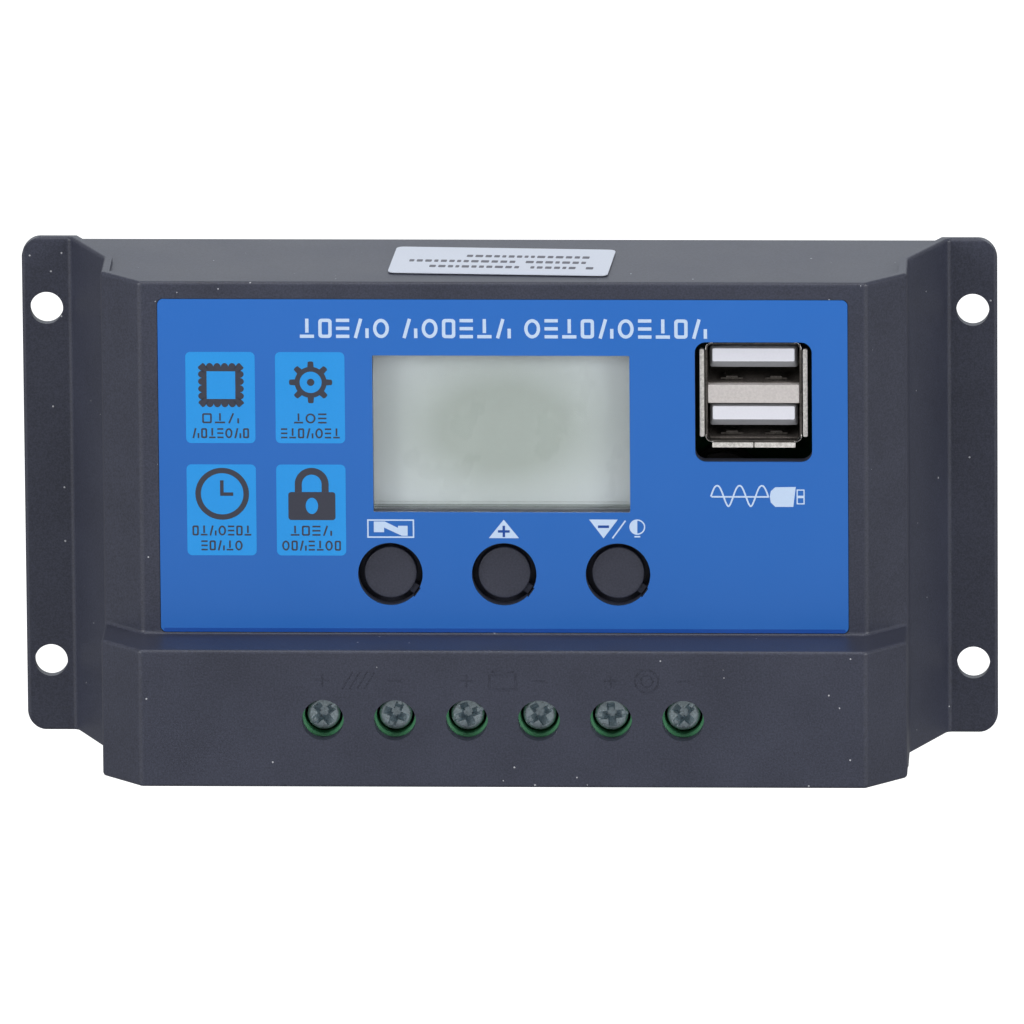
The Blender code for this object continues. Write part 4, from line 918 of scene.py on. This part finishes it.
def knobbed(x, z, half, knob):
    """Square loop whose sides swell by knob times the root of |cos(5 pi s)| along each side."""
    s = np.linspace(0, 1, 80, endpoint=False)
    out = half + knob * np.sqrt(np.abs(np.cos(5 * math.pi * s)))
    along = (2 * s - 1) * half
    sides = [(out, along), (-along, out), (-out, -along), (along, -out)]
    return np.vstack([np.stack(pair, -1) for pair in sides]) + [x, z]


# %% The four icons
def chip_icon(x, z):
    """A square ring with a row of round knobs along each side."""
    return [flat_ring(knobbed(x, z, 2.55 * MM, 0.55 * MM), knobbed(x, z, 1.95 * MM, 0), 1)]


def gear_icon(x, z):
    """A wheel whose radius steps out at eight teeth, and its hub."""
    a = np.linspace(0, 2 * math.pi, 96, endpoint=False)
    tooth = np.clip(np.cos(8 * a) * 4 - 1.2, -1, 1)
    radius = (2.55 + 0.38 * tooth) * MM
    rim = np.stack([x + radius * np.cos(a), z + radius * np.sin(a)], -1)
    return [flat_ring(rim, ellipse(x, z, 1.5 * MM, count=96), 1),
            flat(ellipse(x, z, 0.5 * MM, count=32), 1)]


def clock_icon(x, z):
    """A ring with two hands that meet in a corner."""
    hands = np.array([(-0.28, -0.28), (1.5, -0.28), (1.5, 0.2), (0.2, 0.2), (0.2, 1.9),
                      (-0.28, 1.9)]) * MM + [x, z]
    return [flat_ring(ellipse(x, z, 3.65 * MM, count=64), ellipse(x, z, 2.9 * MM, count=64), 1),
            flat(hands, 1)]


def lock_icon(x, z):
    """A padlock: a bow over a body with a keyhole left open."""
    a = np.linspace(0, math.pi, 25)
    bow = [np.vstack([np.stack([x + r * np.cos(a), z + 1.75 * MM + r * np.sin(a)], -1),
                      [[x - r, z + 0.65 * MM], [x + r, z + 0.65 * MM]]])
           for r in (2.3 * MM, 1.35 * MM)]
    body = rounded(x - 3.2 * MM, x + 3.2 * MM, z - 3.3 * MM, z + 0.64 * MM, 0.4 * MM, 5)
    hole = ellipse(x, z - 1.3 * MM, 0.85 * MM, 1.15 * MM, count=len(body))
    order = np.argsort(np.arctan2(body[:, 1] - (z - 1.3 * MM), body[:, 0] - x))
    start = np.argsort(np.arctan2(hole[:, 1] - (z - 1.3 * MM), hole[:, 0] - x))
    return [flat_ring(*bow, 1), flat_ring(body[order], hole[start], 1)]


# %% Place tiles, icons and words
tiles, icons, captions, words = [], [], [], []
ICONS = [(chip_icon, 1.75, (3,), 2.5, (7,), 3.85), (gear_icon, 2.17, (3,), 2.2, (7,), 4.0),
         (clock_icon, 2.27, (7,), 4.0, (5,), 2.8), (lock_icon, 1.9, (4,), 2.8, (7,), 4.0)]
for n, ((x, z), (icon, rise, *lines)) in enumerate(zip(TILES, ICONS)):
    w, h = TILE_HALF
    tiles.append(flat(rounded(x - w, x + w, z - h, z + h, 0.7 * MM, 8)))
    icons += icon(x + 0.1 * MM, z + rise * MM)
    for row, (count, reach) in enumerate(zip(lines[::2], lines[1::2])):
        reach *= MM
        captions += greeked(x - reach, x + reach, z - (3.6 + 2.1 * row) * MM, 1.4 * MM,
                            10 * row + n, count, 1, 0.16)
words += greeked(-27.5 * MM, 27.8 * MM, 27.2 * MM, 2.7 * MM, 3, (5, 6, 10))
print("print:", len(tiles), "tiles,", len(icons), "icon shapes,", len(captions + words),
      "word shapes")

# %% [markdown]
# ## Small signs
# Each button has a sign above it, and a wavy cord with a plug stands beside the socket. They could
# be drawn in a texture, but as outlines they stay sharp at any distance. The dark marks inside
# the white signs are one print thickness higher, so that no two faces share a plane.

# %% Signs over the buttons
signs_white, signs_blue = [], []
key_z = 0.42 * MM
left, middle, right = (BUTTONS[s].x for s in ("left", "middle", "right"))
left += 0.1 * MM
right -= 1.93 * MM
frame_out, frame_in = (rounded(left - w * MM, left + w * MM, key_z - h * MM, key_z + h * MM,
                               0.05 * MM, 2) for w, h in ((3.2, 1.3), (3.0, 1.1)))
bolt = np.array([(-2.3, 1.0), (-0.8, 1.0), (1.0, 0.1), (1.0, 0.4), (2.3, 0.4), (2.3, -1.0),
                 (1.5, -1.0), (-0.9, 0.15), (-0.9, -0.5), (-2.3, -0.5)]) * MM + [left, key_z]
signs_white += [flat_ring(frame_out, frame_in), flat(bolt[::-1])]
up = np.array([(middle - 2.05 * MM, key_z - 1.3 * MM), (middle + 2.05 * MM, key_z - 1.3 * MM),
               (middle, key_z + 1.3 * MM)])
down = np.array([(right - 1.95 * MM, key_z + 1.35 * MM), (right, key_z - 1.3 * MM),
                 (right + 1.95 * MM, key_z + 1.35 * MM)])
signs_white += [flat(up), flat(down[::-1])]
signs_blue += [flat(plus(middle, key_z - 0.35 * MM, 0.8 * MM, 0.34 * MM), 1),
               flat(strip((right - 0.75 * MM, key_z + 0.35 * MM),
                          (right + 0.75 * MM, key_z + 0.35 * MM), 0.36 * MM), 1)]
slash = strip((right + 1.2 * MM, key_z - 1.3 * MM), (right + 3.0 * MM, key_z + 1.2 * MM), 0.2 * MM)
lamp = (right + 4.6 * MM, key_z + 0.3 * MM)
half_turn = np.linspace(math.pi / 2, 1.5 * math.pi, 24)
half_disc = np.stack([lamp[0] + 0.9 * MM * np.cos(half_turn),
                      lamp[1] + 0.9 * MM * np.sin(half_turn)], -1)
signs_white += [flat(slash), flat(half_disc),
                flat_ring(ellipse(*lamp, 1.08 * MM, count=48), ellipse(*lamp, 0.9 * MM, count=48)),
                flat(strip((lamp[0] - 0.4 * MM, lamp[1] - 1.35 * MM),
                           (lamp[0] + 0.4 * MM, lamp[1] - 1.35 * MM), 0.2 * MM))]
print("button signs:", len(signs_white), "white shapes,", len(signs_blue), "blue shapes")

# %% Cord and plug sign, and the print as pieces
cord_z = 5.02 * MM
u = np.linspace(0, 1, 80)
wave = np.stack([(28.3 + 7.6 * u) * MM, cord_z + 1.45 * MM * np.sin(5 * math.pi * u)], -1)
thin = 0.22 * MM
signs_white += [flat(np.vstack([wave, offset_chain(wave, thin)[::-1]])),
                flat(strip((28.3 * MM, cord_z), (36.1 * MM, cord_z), thin), 1)]
plug = np.array([(36.2, 0), (36.35, 0.8), (36.95, 1.35), (39.75, 1.4), (39.4, -1.4), (36.95, -1.4),
                 (36.35, -0.8)]) * MM + [0, cord_z]
signs_white.append(flat(plug))
for low in (-1.05, 0.0):
    signs_white.append(flat_ring(rounded(39.85 * MM, 40.95 * MM, cord_z + low * MM,
                                         cord_z + (low + 1.05) * MM, 0.05 * MM, 3),
                                 rounded(40.02 * MM, 40.78 * MM, cord_z + (low + 0.17) * MM,
                                         cord_z + (low + 0.88) * MM, 0.05 * MM, 3)))
# A darker blue strip runs along the label's lower edge, next to the raised cover; it is laid on as
# a thin plate, like the print.
band = [flat(rounded(LABEL.x0 + 0.4 * MM, LABEL.x1 - 0.4 * MM, LABEL.z0 + 0.02 * MM,
                     LABEL.z0 + 0.55 * MM, 0.2 * MM, 4))]

printed("label_tiles", tiles, TILE_BLUE)
printed("label_icons", icons + captions, PRINT_GREY)
printed("label_words", words + signs_white, PRINT_WHITE)
printed("label_marks", signs_blue, EDGE_BLUE)
printed("label_band", band, EDGE_BLUE)
print("pieces so far:", [item.name for item in PIECES])

# %% [markdown]
# ## The display
# Behind the window lies a liquid crystal cell: two glass plates, the front one shorter, with a
# grey-green polarising film on top. It is switched off, so it shows only the film's colour. That
# colour is painted paler towards the edges: painted light, which lifts the shade that the window's
# walls throw there. It stands in a white frame on the board. The glass and the film are separate
# pieces, because their cut edges show at the window's lower side.

# %% Colour of the display
PALE_X, PALE_Z = 18 * MM, 12 * MM  # how far from the centre the film pales, across and up


def display_painted_light(tree, place, shade):
    """Painted light: the film is paler towards its corners, which lifts the shade of the window's
    walls. Distance from the cell's centre, mapped to a mix.
    """
    centre = tree.nodes.new("ShaderNodeMapping")
    centre.inputs["Location"].default_value = (-GLASS.x / PALE_X, 0, -GLASS.z / PALE_Z)
    centre.inputs["Scale"].default_value = (1 / PALE_X, 0, 1 / PALE_Z)
    link(tree, place, centre.inputs["Vector"])
    reach = tree.nodes.new("ShaderNodeVectorMath")
    reach.operation = "LENGTH"
    link(tree, centre.outputs[0], reach.inputs[0])
    return mix_colours(tree, ramp(tree, reach.outputs["Value"], 0.45, 1.15), shade,
                       linear(232, 241, 242))


# The display film's colour carries painted light towards its edges.
LCD = recipe("lcd_grey", (184, 194, 187), 0.3, grain=5200, bump=0.002, mottle=160, shift=0.015,
             paint=display_painted_light)
GLASS_EDGE = recipe("glass_edge", (120, 138, 130), 0.12, bump=0.0, mottle=120, shift=0.04,
                    coat=0.5)
print("display colours:", LCD.name, GLASS_EDGE.name)

# %% Display cell
PLATE, FOIL = 0.95 * MM, 0.14 * MM
LEDGE = 1.0 * MM  # height of the rear glass that the front glass leaves bare
FOIL_SIDE = 0.4 * MM  # bare glass at the film's sides
rear_glass = drawn(rounded(GLASS.x0, GLASS.x1, GLASS.z0, GLASS.z1, 0.1 * MM, 2), GLASS.near,
                   GLASS.near + PLATE)
front_glass = drawn(rounded(GLASS.x0, GLASS.x1, GLASS.z0 + LEDGE, GLASS.z1, 0.1 * MM, 2),
                    GLASS.near + PLATE, GLASS.far - FOIL)
cell = piece("display_cell", gather([rear_glass, front_glass]))
settle(cell, "case", GLASS_EDGE, "lcd_glass")
film_x0, film_x1 = GLASS.x0 + FOIL_SIDE, GLASS.x1 - FOIL_SIDE
polariser = piece("display_polariser", drawn(
    rounded(film_x0, film_x1, GLASS.z0 + 1.2 * MM, GLASS.z1 - 0.3 * MM, 0.2 * MM, 3),
    GLASS.far - FOIL, GLASS.far))
settle(polariser, "case", LCD)
ledge_strip = piece("display_ledge", drawn(
    rounded(film_x0, film_x1, GLASS.z0 + 0.1 * MM, GLASS.z0 + 0.9 * MM, 0.1 * MM, 2),
    GLASS.near + PLATE, GLASS.near + PLATE + FOIL))
settle(ledge_strip, "case", LCD)
print("display:", round((GLASS.x1 - GLASS.x0) / MM, 1), "x", round((GLASS.z1 - GLASS.z0) / MM, 1))

# %% [markdown]
# ## The push buttons
# Each cap is a short turned cylinder with a slightly hollow top, a flange that keeps it behind
# the front, and a small key towards the lower right that stops it from turning. A bevelled
# cylinder would do for the outside, but a turned profile also gives the hollow and the rim in
# one curve. The key is joined on, and the sharp seam between the two is rounded with the rest.

# %% Button caps
CAP_RADIUS, CAP_EDGE = 3.6 * MM, 0.22 * MM
FLANGE_RADIUS, FLANGE_HEIGHT, STEM_RADIUS = 4.75 * MM, 1.3 * MM, 1.7 * MM
TAB_WIDTH, TAB_REACH = 1.3 * MM, 4.32 * MM


def cap_profile(box):
    """Cap in section: hollow top as a parabola, a rounded rim, the wall, flange and stem."""
    r = np.linspace(0, CAP_RADIUS - CAP_EDGE, 10)
    top = box.far - 0.12 * MM * (1 - (r / (CAP_RADIUS - CAP_EDGE)) ** 2)
    a = np.linspace(0, math.pi / 2, 7)[1:]
    rim = np.stack([CAP_RADIUS - CAP_EDGE + CAP_EDGE * np.sin(a),
                    box.far - CAP_EDGE + CAP_EDGE * np.cos(a)], -1)
    flange = box.far - 1.7 * MM
    low = [(CAP_RADIUS, flange), (FLANGE_RADIUS, flange), (FLANGE_RADIUS, flange - FLANGE_HEIGHT),
           (STEM_RADIUS, flange - FLANGE_HEIGHT), (STEM_RADIUS, box.near), (0, box.near)]
    return np.vstack([np.stack([r, top], -1), rim, low])


for side, box in BUTTONS.items():
    cap = piece(f"cap_{side}", lathe(cap_profile(box), box.x, box.z, 96))
    direction = np.array([math.cos(KEY_TURN), math.sin(KEY_TURN)])
    start = np.array([box.x, box.z]) + 2.6 * MM * direction
    end = np.array([box.x, box.z]) + TAB_REACH * direction
    carve(cap, drawn(strip(start, end, TAB_WIDTH), box.far - 1.9 * MM, box.far - 0.35 * MM),
          how="UNION")
    soften(cap, 0.12 * MM, 2, 50)
    settle(cap, f"button_{side}", CAP, f"button_cap_{side}")
print("caps:", len(cap.data.polygons), "faces each")

# %% [markdown]
# ## The twin USB socket
# A folded, plated shell holds two white tongues with a metal-faced bar between them. Its mouth
# flares out at the sides and below, where thin tabs press on the case. Inside each opening, two
# sprung fingers, cut out of the sheet, press on the plug. A Solidify modifier could thicken one
# folded sheet, but a ring between two rounded outlines gives the same wall with even corners.
# Thin bright arcs on the mouth's corners are painted highlights, where its rounded corners catch
# the light.

# %% USB shell
SHEET = 0.3 * MM
mouth, inner_rear = USB.far, USB.near + 3 * MM
outer = rounded(USB.x0, USB.x1, USB.z0, USB.z1, 0.9 * MM, 6)
inner = rounded(USB.x0 + SHEET, USB.x1 - SHEET, USB.z0 + SHEET, USB.z1 - SHEET, 0.6 * MM, 6)
shell_parts = [ring(outer, inner, USB.near, mouth), drawn(inner, USB.near, inner_rear)]
usb_shell = piece("usb_case", gather(shell_parts))
soften(usb_shell, 0.1 * MM, 2, 50)
settle(usb_shell, "case", NICKEL, "usb_shell")

print("shell:", len(usb_shell.data.polygons), "faces")

# %% Painted highlights on the mouth's corners, and its tabs
CORNER, GLINT_WIDTH = 0.9 * MM, 0.13 * MM
TAB_GAP, TAB_FAR = 0.14 * MM, 0.78 * MM  # how far beside the shell its side tabs start and end
tabs = []
# The arcs are painted highlights: bright plating laid on the mouth's rounded corners.
for x, sx in ((USB.x0 + CORNER, -1), (USB.x1 - CORNER, 1)):
    for z, sz in ((USB.z0 + CORNER, -1), (USB.z1 - CORNER, 1)):
        a = np.linspace(-0.2, math.pi / 2 + 0.2, 16)
        arcs = [np.stack([x + sx * r * np.cos(a), z + sz * r * np.sin(a)], -1)
                for r in (CORNER - 0.02 * MM, CORNER - GLINT_WIDTH)]
        tabs.append(drawn(np.vstack([arcs[0], arcs[1][::-1]]), mouth - 0.1 * MM, mouth + 0.02 * MM))
# The side and bottom tabs are plated like the shell but take the bright nickel, a painted highlight
# for the light they catch.
for x0, x1 in ((USB.x0 - TAB_FAR, USB.x0 - TAB_GAP), (USB.x1 + TAB_GAP, USB.x1 + TAB_FAR)):
    tabs.append(drawn(rounded(x0, x1, USB.z0 + 0.7 * MM, USB.z1 - 1.0 * MM, 0.2 * MM, 4),
                      mouth - 1.0 * MM, mouth - 0.2 * MM))
for x0, x1 in ((USB.x0 + 0.9 * MM, USB.x - 0.08 * MM), (USB.x + 0.08 * MM, USB.x1 - 0.9 * MM)):
    tabs.append(drawn(rounded(x0, x1, USB.z0 - 0.85 * MM, USB.z0 - 0.12 * MM, 0.1 * MM, 3),
                      mouth - 1.0 * MM, mouth - 0.3 * MM))
flare = piece("usb_flare", gather(tabs))
soften(flare, 0.08 * MM, 2, 50)
settle(flare, "case", NICKEL_HIGHLIGHT)
print("corners with painted highlights and tabs:", len(tabs))

# %% Tongues, divider and springs
UPPER, LOWER = FaceBox("usb_tongue_upper"), FaceBox("usb_tongue_lower")
BAR = (17.93 * MM, 20.5 * MM)
bar = piece("usb_bar", drawn(rounded(USB.x0 + SHEET + 0.02 * MM, USB.x1 - SHEET - 0.02 * MM,
                                     *BAR, 0.12 * MM, 3), inner_rear, mouth - 0.15 * MM))
soften(bar, 0.12 * MM, 2, 50)
settle(bar, "case", DIVIDER)


def tongue(name, box, z0, z1, node):
    """White tongue with bevelled ends and underside: its section narrows towards the mouth. Its
    body is painted grey, a painted shade on the white plastic.
    """
    wide = rounded(box.x0 - 0.4 * MM, box.x1 + 0.4 * MM, z0 - 1.0 * MM, z1 + 0.1 * MM, 0.3 * MM, 4)
    slim = rounded(box.x0, box.x1, z0, z1, 0.2 * MM, 4)
    back = drawn(wide, inner_rear - MM, box.far - 1.0 * MM)
    nose = joined(to_space(wide, box.far - 1.0 * MM, "depth"),
                  to_space(slim, box.far - 0.1 * MM, "depth"))
    item = piece(name, gather([back, nose]))
    soften(item, 0.06 * MM, 2, 40)
    settle(item, "case", TONGUE_SHADE, node)
    # Only this thin plate at the front shows the tongue's white; the rest carries the painted
    # shade.
    front = piece(f"{name}_face", drawn(slim, box.far - 0.11 * MM, box.far - 0.04 * MM))
    return settle(front, "case", WHITE)


tongue("tongue_upper", UPPER, 23.75 * MM, 25.55 * MM, "usb_tongue_upper")
tongue("tongue_lower", LOWER, 15.6 * MM, 17.45 * MM, "usb_tongue_lower")

print("tongues:", [round(v.far / MM, 2) for v in (UPPER, LOWER)], "mm out of the wall")

# %% Springs and linings
springs = []
for z in (USB.z0 + SHEET, BAR[1]):
    for x in (USB.x - 3.0 * MM, USB.x + 3.0 * MM):
        outline = np.array([(x - 1.5 * MM, mouth - 2.2 * MM), (x - 0.9 * MM, mouth - 6 * MM),
                            (x + 0.9 * MM, mouth - 6 * MM), (x + 1.5 * MM, mouth - 2.2 * MM)])
        springs.append(drawn(outline, z + 0.25 * MM, z + 0.5 * MM, "up"))
        lip = drawn(rounded(x - 0.8 * MM, x + 0.8 * MM, z + 0.25 * MM, z + 0.75 * MM, 0.1 * MM, 2),
                    mouth - 2.4 * MM, mouth - 2.1 * MM)
        springs.append(lip)
fingers = piece("usb_fingers", gather(springs))
settle(fingers, "case", NICKEL)
# The linings at the back of each opening take the darker nickel, a painted shade for the inside of
# the socket.
lining = []
for z0, z1 in ((USB.z0 + SHEET, BAR[0]), (BAR[1], USB.z1 - SHEET)):
    lining.append(drawn(rounded(USB.x0 + SHEET, USB.x1 - SHEET, z0, z1, 0.1 * MM, 2),
                        inner_rear - 0.1 * MM, inner_rear + 3 * MM))
    lining.append(drawn(rounded(USB.x0 + SHEET + 0.01 * MM, USB.x1 - SHEET - 0.01 * MM, z0,
                                z0 + 0.12 * MM, 0.03 * MM, 2), inner_rear, mouth - 1.2 * MM))
linings = piece("usb_lining", gather(lining))
settle(linings, "case", NICKEL_SHADE)
print("USB socket:", [round(v / MM, 2) for v in (USB.x1 - USB.x0, USB.z1 - USB.z0)])

# %% [markdown]
# ## The terminals
# Under each hole in the cover a green plastic block holds a plated screw, and a cage below its
# head rises to clamp the wire. The block is a box with its wells, rooms and mouths cut out, in
# the order in which a mould would form them. The screw stands in a round well.

# %% Terminal block
WELL_RADIUS = 2.6 * MM
body = piece("green_block", drawn(rounded(BLOCK.x0, BLOCK.x1, BLOCK.z0, BLOCK.z1, 0.3 * MM, 3),
                                  BLOCK.near, BLOCK.far))
block_cuts = []
for n, screw in enumerate(SCREWS, 1):
    cage = FaceBox(f"clamp_cage_{n}")
    well = [(0, BLOCK.far + MM), (WELL_RADIUS + 1.3 * MM, BLOCK.far + MM),
            (WELL_RADIUS, BLOCK.far - 0.3 * MM), (WELL_RADIUS, cage.far), (0, cage.far)]
    block_cuts.append(lathe(well, screw.x, screw.z, 72))
    room = rounded(cage.x0 - 0.3 * MM, cage.x1 + 0.3 * MM, cage.near - 0.3 * MM,
                   BLOCK.far - 7.0 * MM, 0.2 * MM, 2)
    block_cuts.append(drawn(room, cage.z0 - 0.3 * MM, cage.z1 + 0.3 * MM, "up"))
    mouth_cut = rounded(screw.x - 3 * MM, screw.x + 3 * MM, cage.near + 0.9 * MM,
                        cage.near + 6.3 * MM, 0.4 * MM, 4)
    block_cuts.append(drawn(mouth_cut, BLOCK.z0 - MM, cage.z0, "up"))
carve(body, *block_cuts)
soften(body, 0.1 * MM, 2, 50)
settle(body, "case", GREEN, "terminal_block")
print("block:", len(body.data.polygons), "faces")

# %% [markdown]
# ## The terminal screws
# Each head is a turned shape with a slot across it and a cross recess in its middle, and each was
# left at its own angle. A bump could fake the recess, but its walls catch the light, so they are
# cut: a slot first, then two strips at right angles that narrow with depth.

# %% Section of a screw
HEAD_TURNS = (38, 68, 21, 33, 6, 48)
HEAD_RADIUS, HEAD_HEIGHT, SHANK = 2.25 * MM, 2.3 * MM, 1.7 * MM


def head_profile(box):
    """Head and shank in section: a slightly domed top, a rounded edge, the head's wall, the
    shank and its chamfered tip."""
    r = np.linspace(0, HEAD_RADIUS - 0.4 * MM, 8)
    top = box.far - 0.10 * MM * (r / HEAD_RADIUS) ** 2
    a = np.linspace(0, math.pi / 2, 6)[1:]
    edge = np.stack([HEAD_RADIUS - 0.4 * MM + 0.4 * MM * np.sin(a),
                     top[-1] - 0.4 * MM + 0.4 * MM * np.cos(a)], -1)
    low = box.far - HEAD_HEIGHT
    return np.vstack([np.stack([r, top], -1), edge,
                      [(HEAD_RADIUS, low), (SHANK, low), (SHANK, box.near + 0.4 * MM),
                       (SHANK - 0.4 * MM, box.near), (0, box.near)]])


# %% Cross recess and the six heads
def tapered(x, z, angle, length, width, top, depth):
    """Cutter for one arm pair of a cross recess: a strip that narrows with depth."""
    way = np.array([math.cos(angle), math.sin(angle)]) / 2
    wide = strip((x - way[0] * length, z - way[1] * length),
                 (x + way[0] * length, z + way[1] * length), width)
    slim = strip((x - way[0] * length * 0.35, z - way[1] * length * 0.35),
                 (x + way[0] * length * 0.35, z + way[1] * length * 0.35), width * 0.55)
    points = np.vstack([to_space(slim, top - depth, "depth"), to_space(wide, top, "depth"),
                        to_space(wide, top + MM, "depth")])
    faces = [[3, 2, 1, 0], [8, 9, 10, 11]]
    for base in (0, 4):
        faces += [[base + k, base + (k + 1) % 4, base + 4 + (k + 1) % 4, base + 4 + k]
                  for k in range(4)]
    return points, faces


for n, (screw, turn_angle) in enumerate(zip(SCREWS, HEAD_TURNS), 1):
    head = piece(f"screw_head_{n}", lathe(head_profile(screw), screw.x, screw.z, 72))
    a = math.radians(turn_angle)
    reach = np.array([math.cos(a), math.sin(a)]) * (HEAD_RADIUS + MM)
    centre = np.array([screw.x, screw.z])
    slot_cut = drawn(strip(centre - reach, centre + reach, 0.55 * MM), screw.far - 0.55 * MM,
                     screw.far + MM)
    carve(head, slot_cut, tapered(screw.x, screw.z, a, 3.5 * MM, 1.15 * MM, screw.far, 1.5 * MM),
          tapered(screw.x, screw.z, a + math.pi / 2, 3.5 * MM, 1.15 * MM, screw.far, 1.5 * MM))
    soften(head, 0.06 * MM, 2, 45)
    settle(head, f"screw_{n}", STEEL, f"terminal_screw_{n}")
print("screw heads:", len(head.data.polygons), "faces each")

# %% [markdown]
# ## The sticker and the back
# A small paper sticker lies a little askew on the top wall. Its outline and its greeked print
# are drawn in its own axes and turned together, so that they stay in line. The back cover
# closes the case: a flat plate with two groups of vents and four countersunk screws. Turned
# cones cut the countersinks, as a drill would.

# %% Sticker
TILT = math.radians(3)
STICKER_SIZE = (30 * MM, 14 * MM)
tag = FaceBox("rating_sticker")
tag_depth = (tag.near + tag.far) / 2 + 2.0 * MM


def on_sticker(outline, low, high):
    """Shape drawn in the sticker's own x and y, turned and put on the top wall."""
    u, v = np.asarray(outline).T
    turned = np.stack([tag.x + u * math.cos(TILT) - v * math.sin(TILT),
                       tag_depth + u * math.sin(TILT) + v * math.cos(TILT)], -1)
    return drawn(turned, low, high, "up")


half_u, half_v = STICKER_SIZE[0] / 2, STICKER_SIZE[1] / 2
sticker = piece("sticker", on_sticker(rounded(-half_u, half_u, -half_v, half_v, 1.0 * MM, 8),
                                      tag.z0, tag.z1 - PRINT))
settle(sticker, "case", STICKER, "rating_sticker")
pick = np.random.default_rng(7)
rows = []
for v, start in ((3.4, -9.6), (0.5, -12.6), (-2.4, -5.0)):
    u = start
    while u < 11.8:
        w = float(pick.uniform(0.5, 1.1))
        if pick.random() > 0.12:
            rows.append(on_sticker(rounded(u * MM, (u + w) * MM, (v - 0.6) * MM, (v + 0.6) * MM,
                                           0.15 * MM, 2), tag.z1 - PRINT - HAIR, tag.z1))
        u += w + 0.35
writing = piece("sticker_print", gather(rows))
settle(writing, "case", INK)

# %% Back cover and its screws
back = piece("back_plate", drawn(rounded(COVER.x0, COVER.x1, COVER.z0, COVER.z1, 1.0 * MM, 6),
                                 COVER.near, COVER.far))
VENTS = [side * (12.0 + 6.5 * k) * MM for side in (-1, 1) for k in range(5)]
back_cuts = [drawn(rounded(x - MM, x + MM, -8 * MM, 8 * MM, 0.99 * MM, 8), COVER.near - MM,
                   COVER.far + MM) for x in VENTS]
BACK_SCREWS = [FaceBox(f"back_screw_{n}") for n in range(1, 5)]
for spot in BACK_SCREWS:
    cone = [(0, -MM), (3.9 * MM, -MM), (2.9 * MM, 0), (1.5 * MM, 1.5 * MM),
            (1.5 * MM, COVER.far + MM), (0, COVER.far + MM)]
    back_cuts.append(lathe(cone, spot.x, spot.z, 64))
carve(back, *back_cuts)
soften(back, 0.15 * MM, 2, 50)
settle(back, "case", CASE, "back_cover")
for n, spot in enumerate(BACK_SCREWS, 1):
    shape = [(0, spot.near), (2.45 * MM, spot.near), (2.6 * MM, spot.near + 0.12 * MM),
             (1.2 * MM, spot.near + 1.5 * MM), (1.2 * MM, spot.far - 1.5 * MM), (0, spot.far)]
    fixing = piece(f"back_fixing_{n}", lathe(shape, spot.x, spot.z, 48))
    cross = [drawn(strip((spot.x - dx, spot.z - dz), (spot.x + dx, spot.z + dz), 0.6 * MM),
                   spot.near - MM, spot.near + 0.8 * MM)
             for dx, dz in ((1.3 * MM, 0), (0, 1.3 * MM))]
    carve(fixing, *cross)
    settle(fixing, "case", DARK_STEEL, f"back_screw_{n}")
print("back: 10 vents and", len(BACK_SCREWS), "screws")

# %% [markdown]
# ## Finishes of the parts that stay as modelled
# What sits on the board is seen only through gaps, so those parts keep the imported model's shape
# and only get their finish. Parts that finer pieces stand in for get one too, for when they are
# shown on their own.

# %% Finishes by part
BY_PART = {
    CASE: ["front_shell", "back_cover"],
    BLUE: ["label_film"],
    CLEAR: ["display_window"],
    STICKER: ["rating_sticker"],
    FRAME_WHITE: ["lcd_frame"],
    LCD: ["lcd_glass"],
    GUIDE: ["lcd_light_guide"],
    DARK: ["lcd_pin_header", "switch_body", "switch_plunger"],
    BOARD: ["main_board"],
    DARK_STEEL: ["back_screw", "board_screw"],
    CAP: ["button_cap"],
    NICKEL: ["usb_shell"],
    WHITE: ["usb_tongue"],
    GREEN: ["terminal_block"],
    STEEL: ["terminal_screw"],
    BRASS: ["clamp_cage", "contact_bar"],
    CHIP: ["power_transistor", "controller_chip", "converter_chip"],
    PAD: ["thermal_pad"],
    ALUMINIUM: ["heat_sink"],
    SLEEVE: ["capacitor"],
    FERRITE: ["inductor"],
}
unfinished = []
for name, node in frame["nodes"].items():
    found = [m for m, starts in BY_PART.items() if name.startswith(tuple(starts))]
    if not found:
        unfinished.append(name)
        continue
    node.data.materials.clear()
    node.data.materials.append(found[0])
print("parts finished:", len(frame["nodes"]) - len(unfinished), "left:", unfinished)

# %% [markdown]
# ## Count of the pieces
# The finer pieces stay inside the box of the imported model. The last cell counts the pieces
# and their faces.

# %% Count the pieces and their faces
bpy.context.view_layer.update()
faces = sum(len(item.data.polygons) for item in PIECES)
print("pieces:", len(PIECES), "faces:", faces)
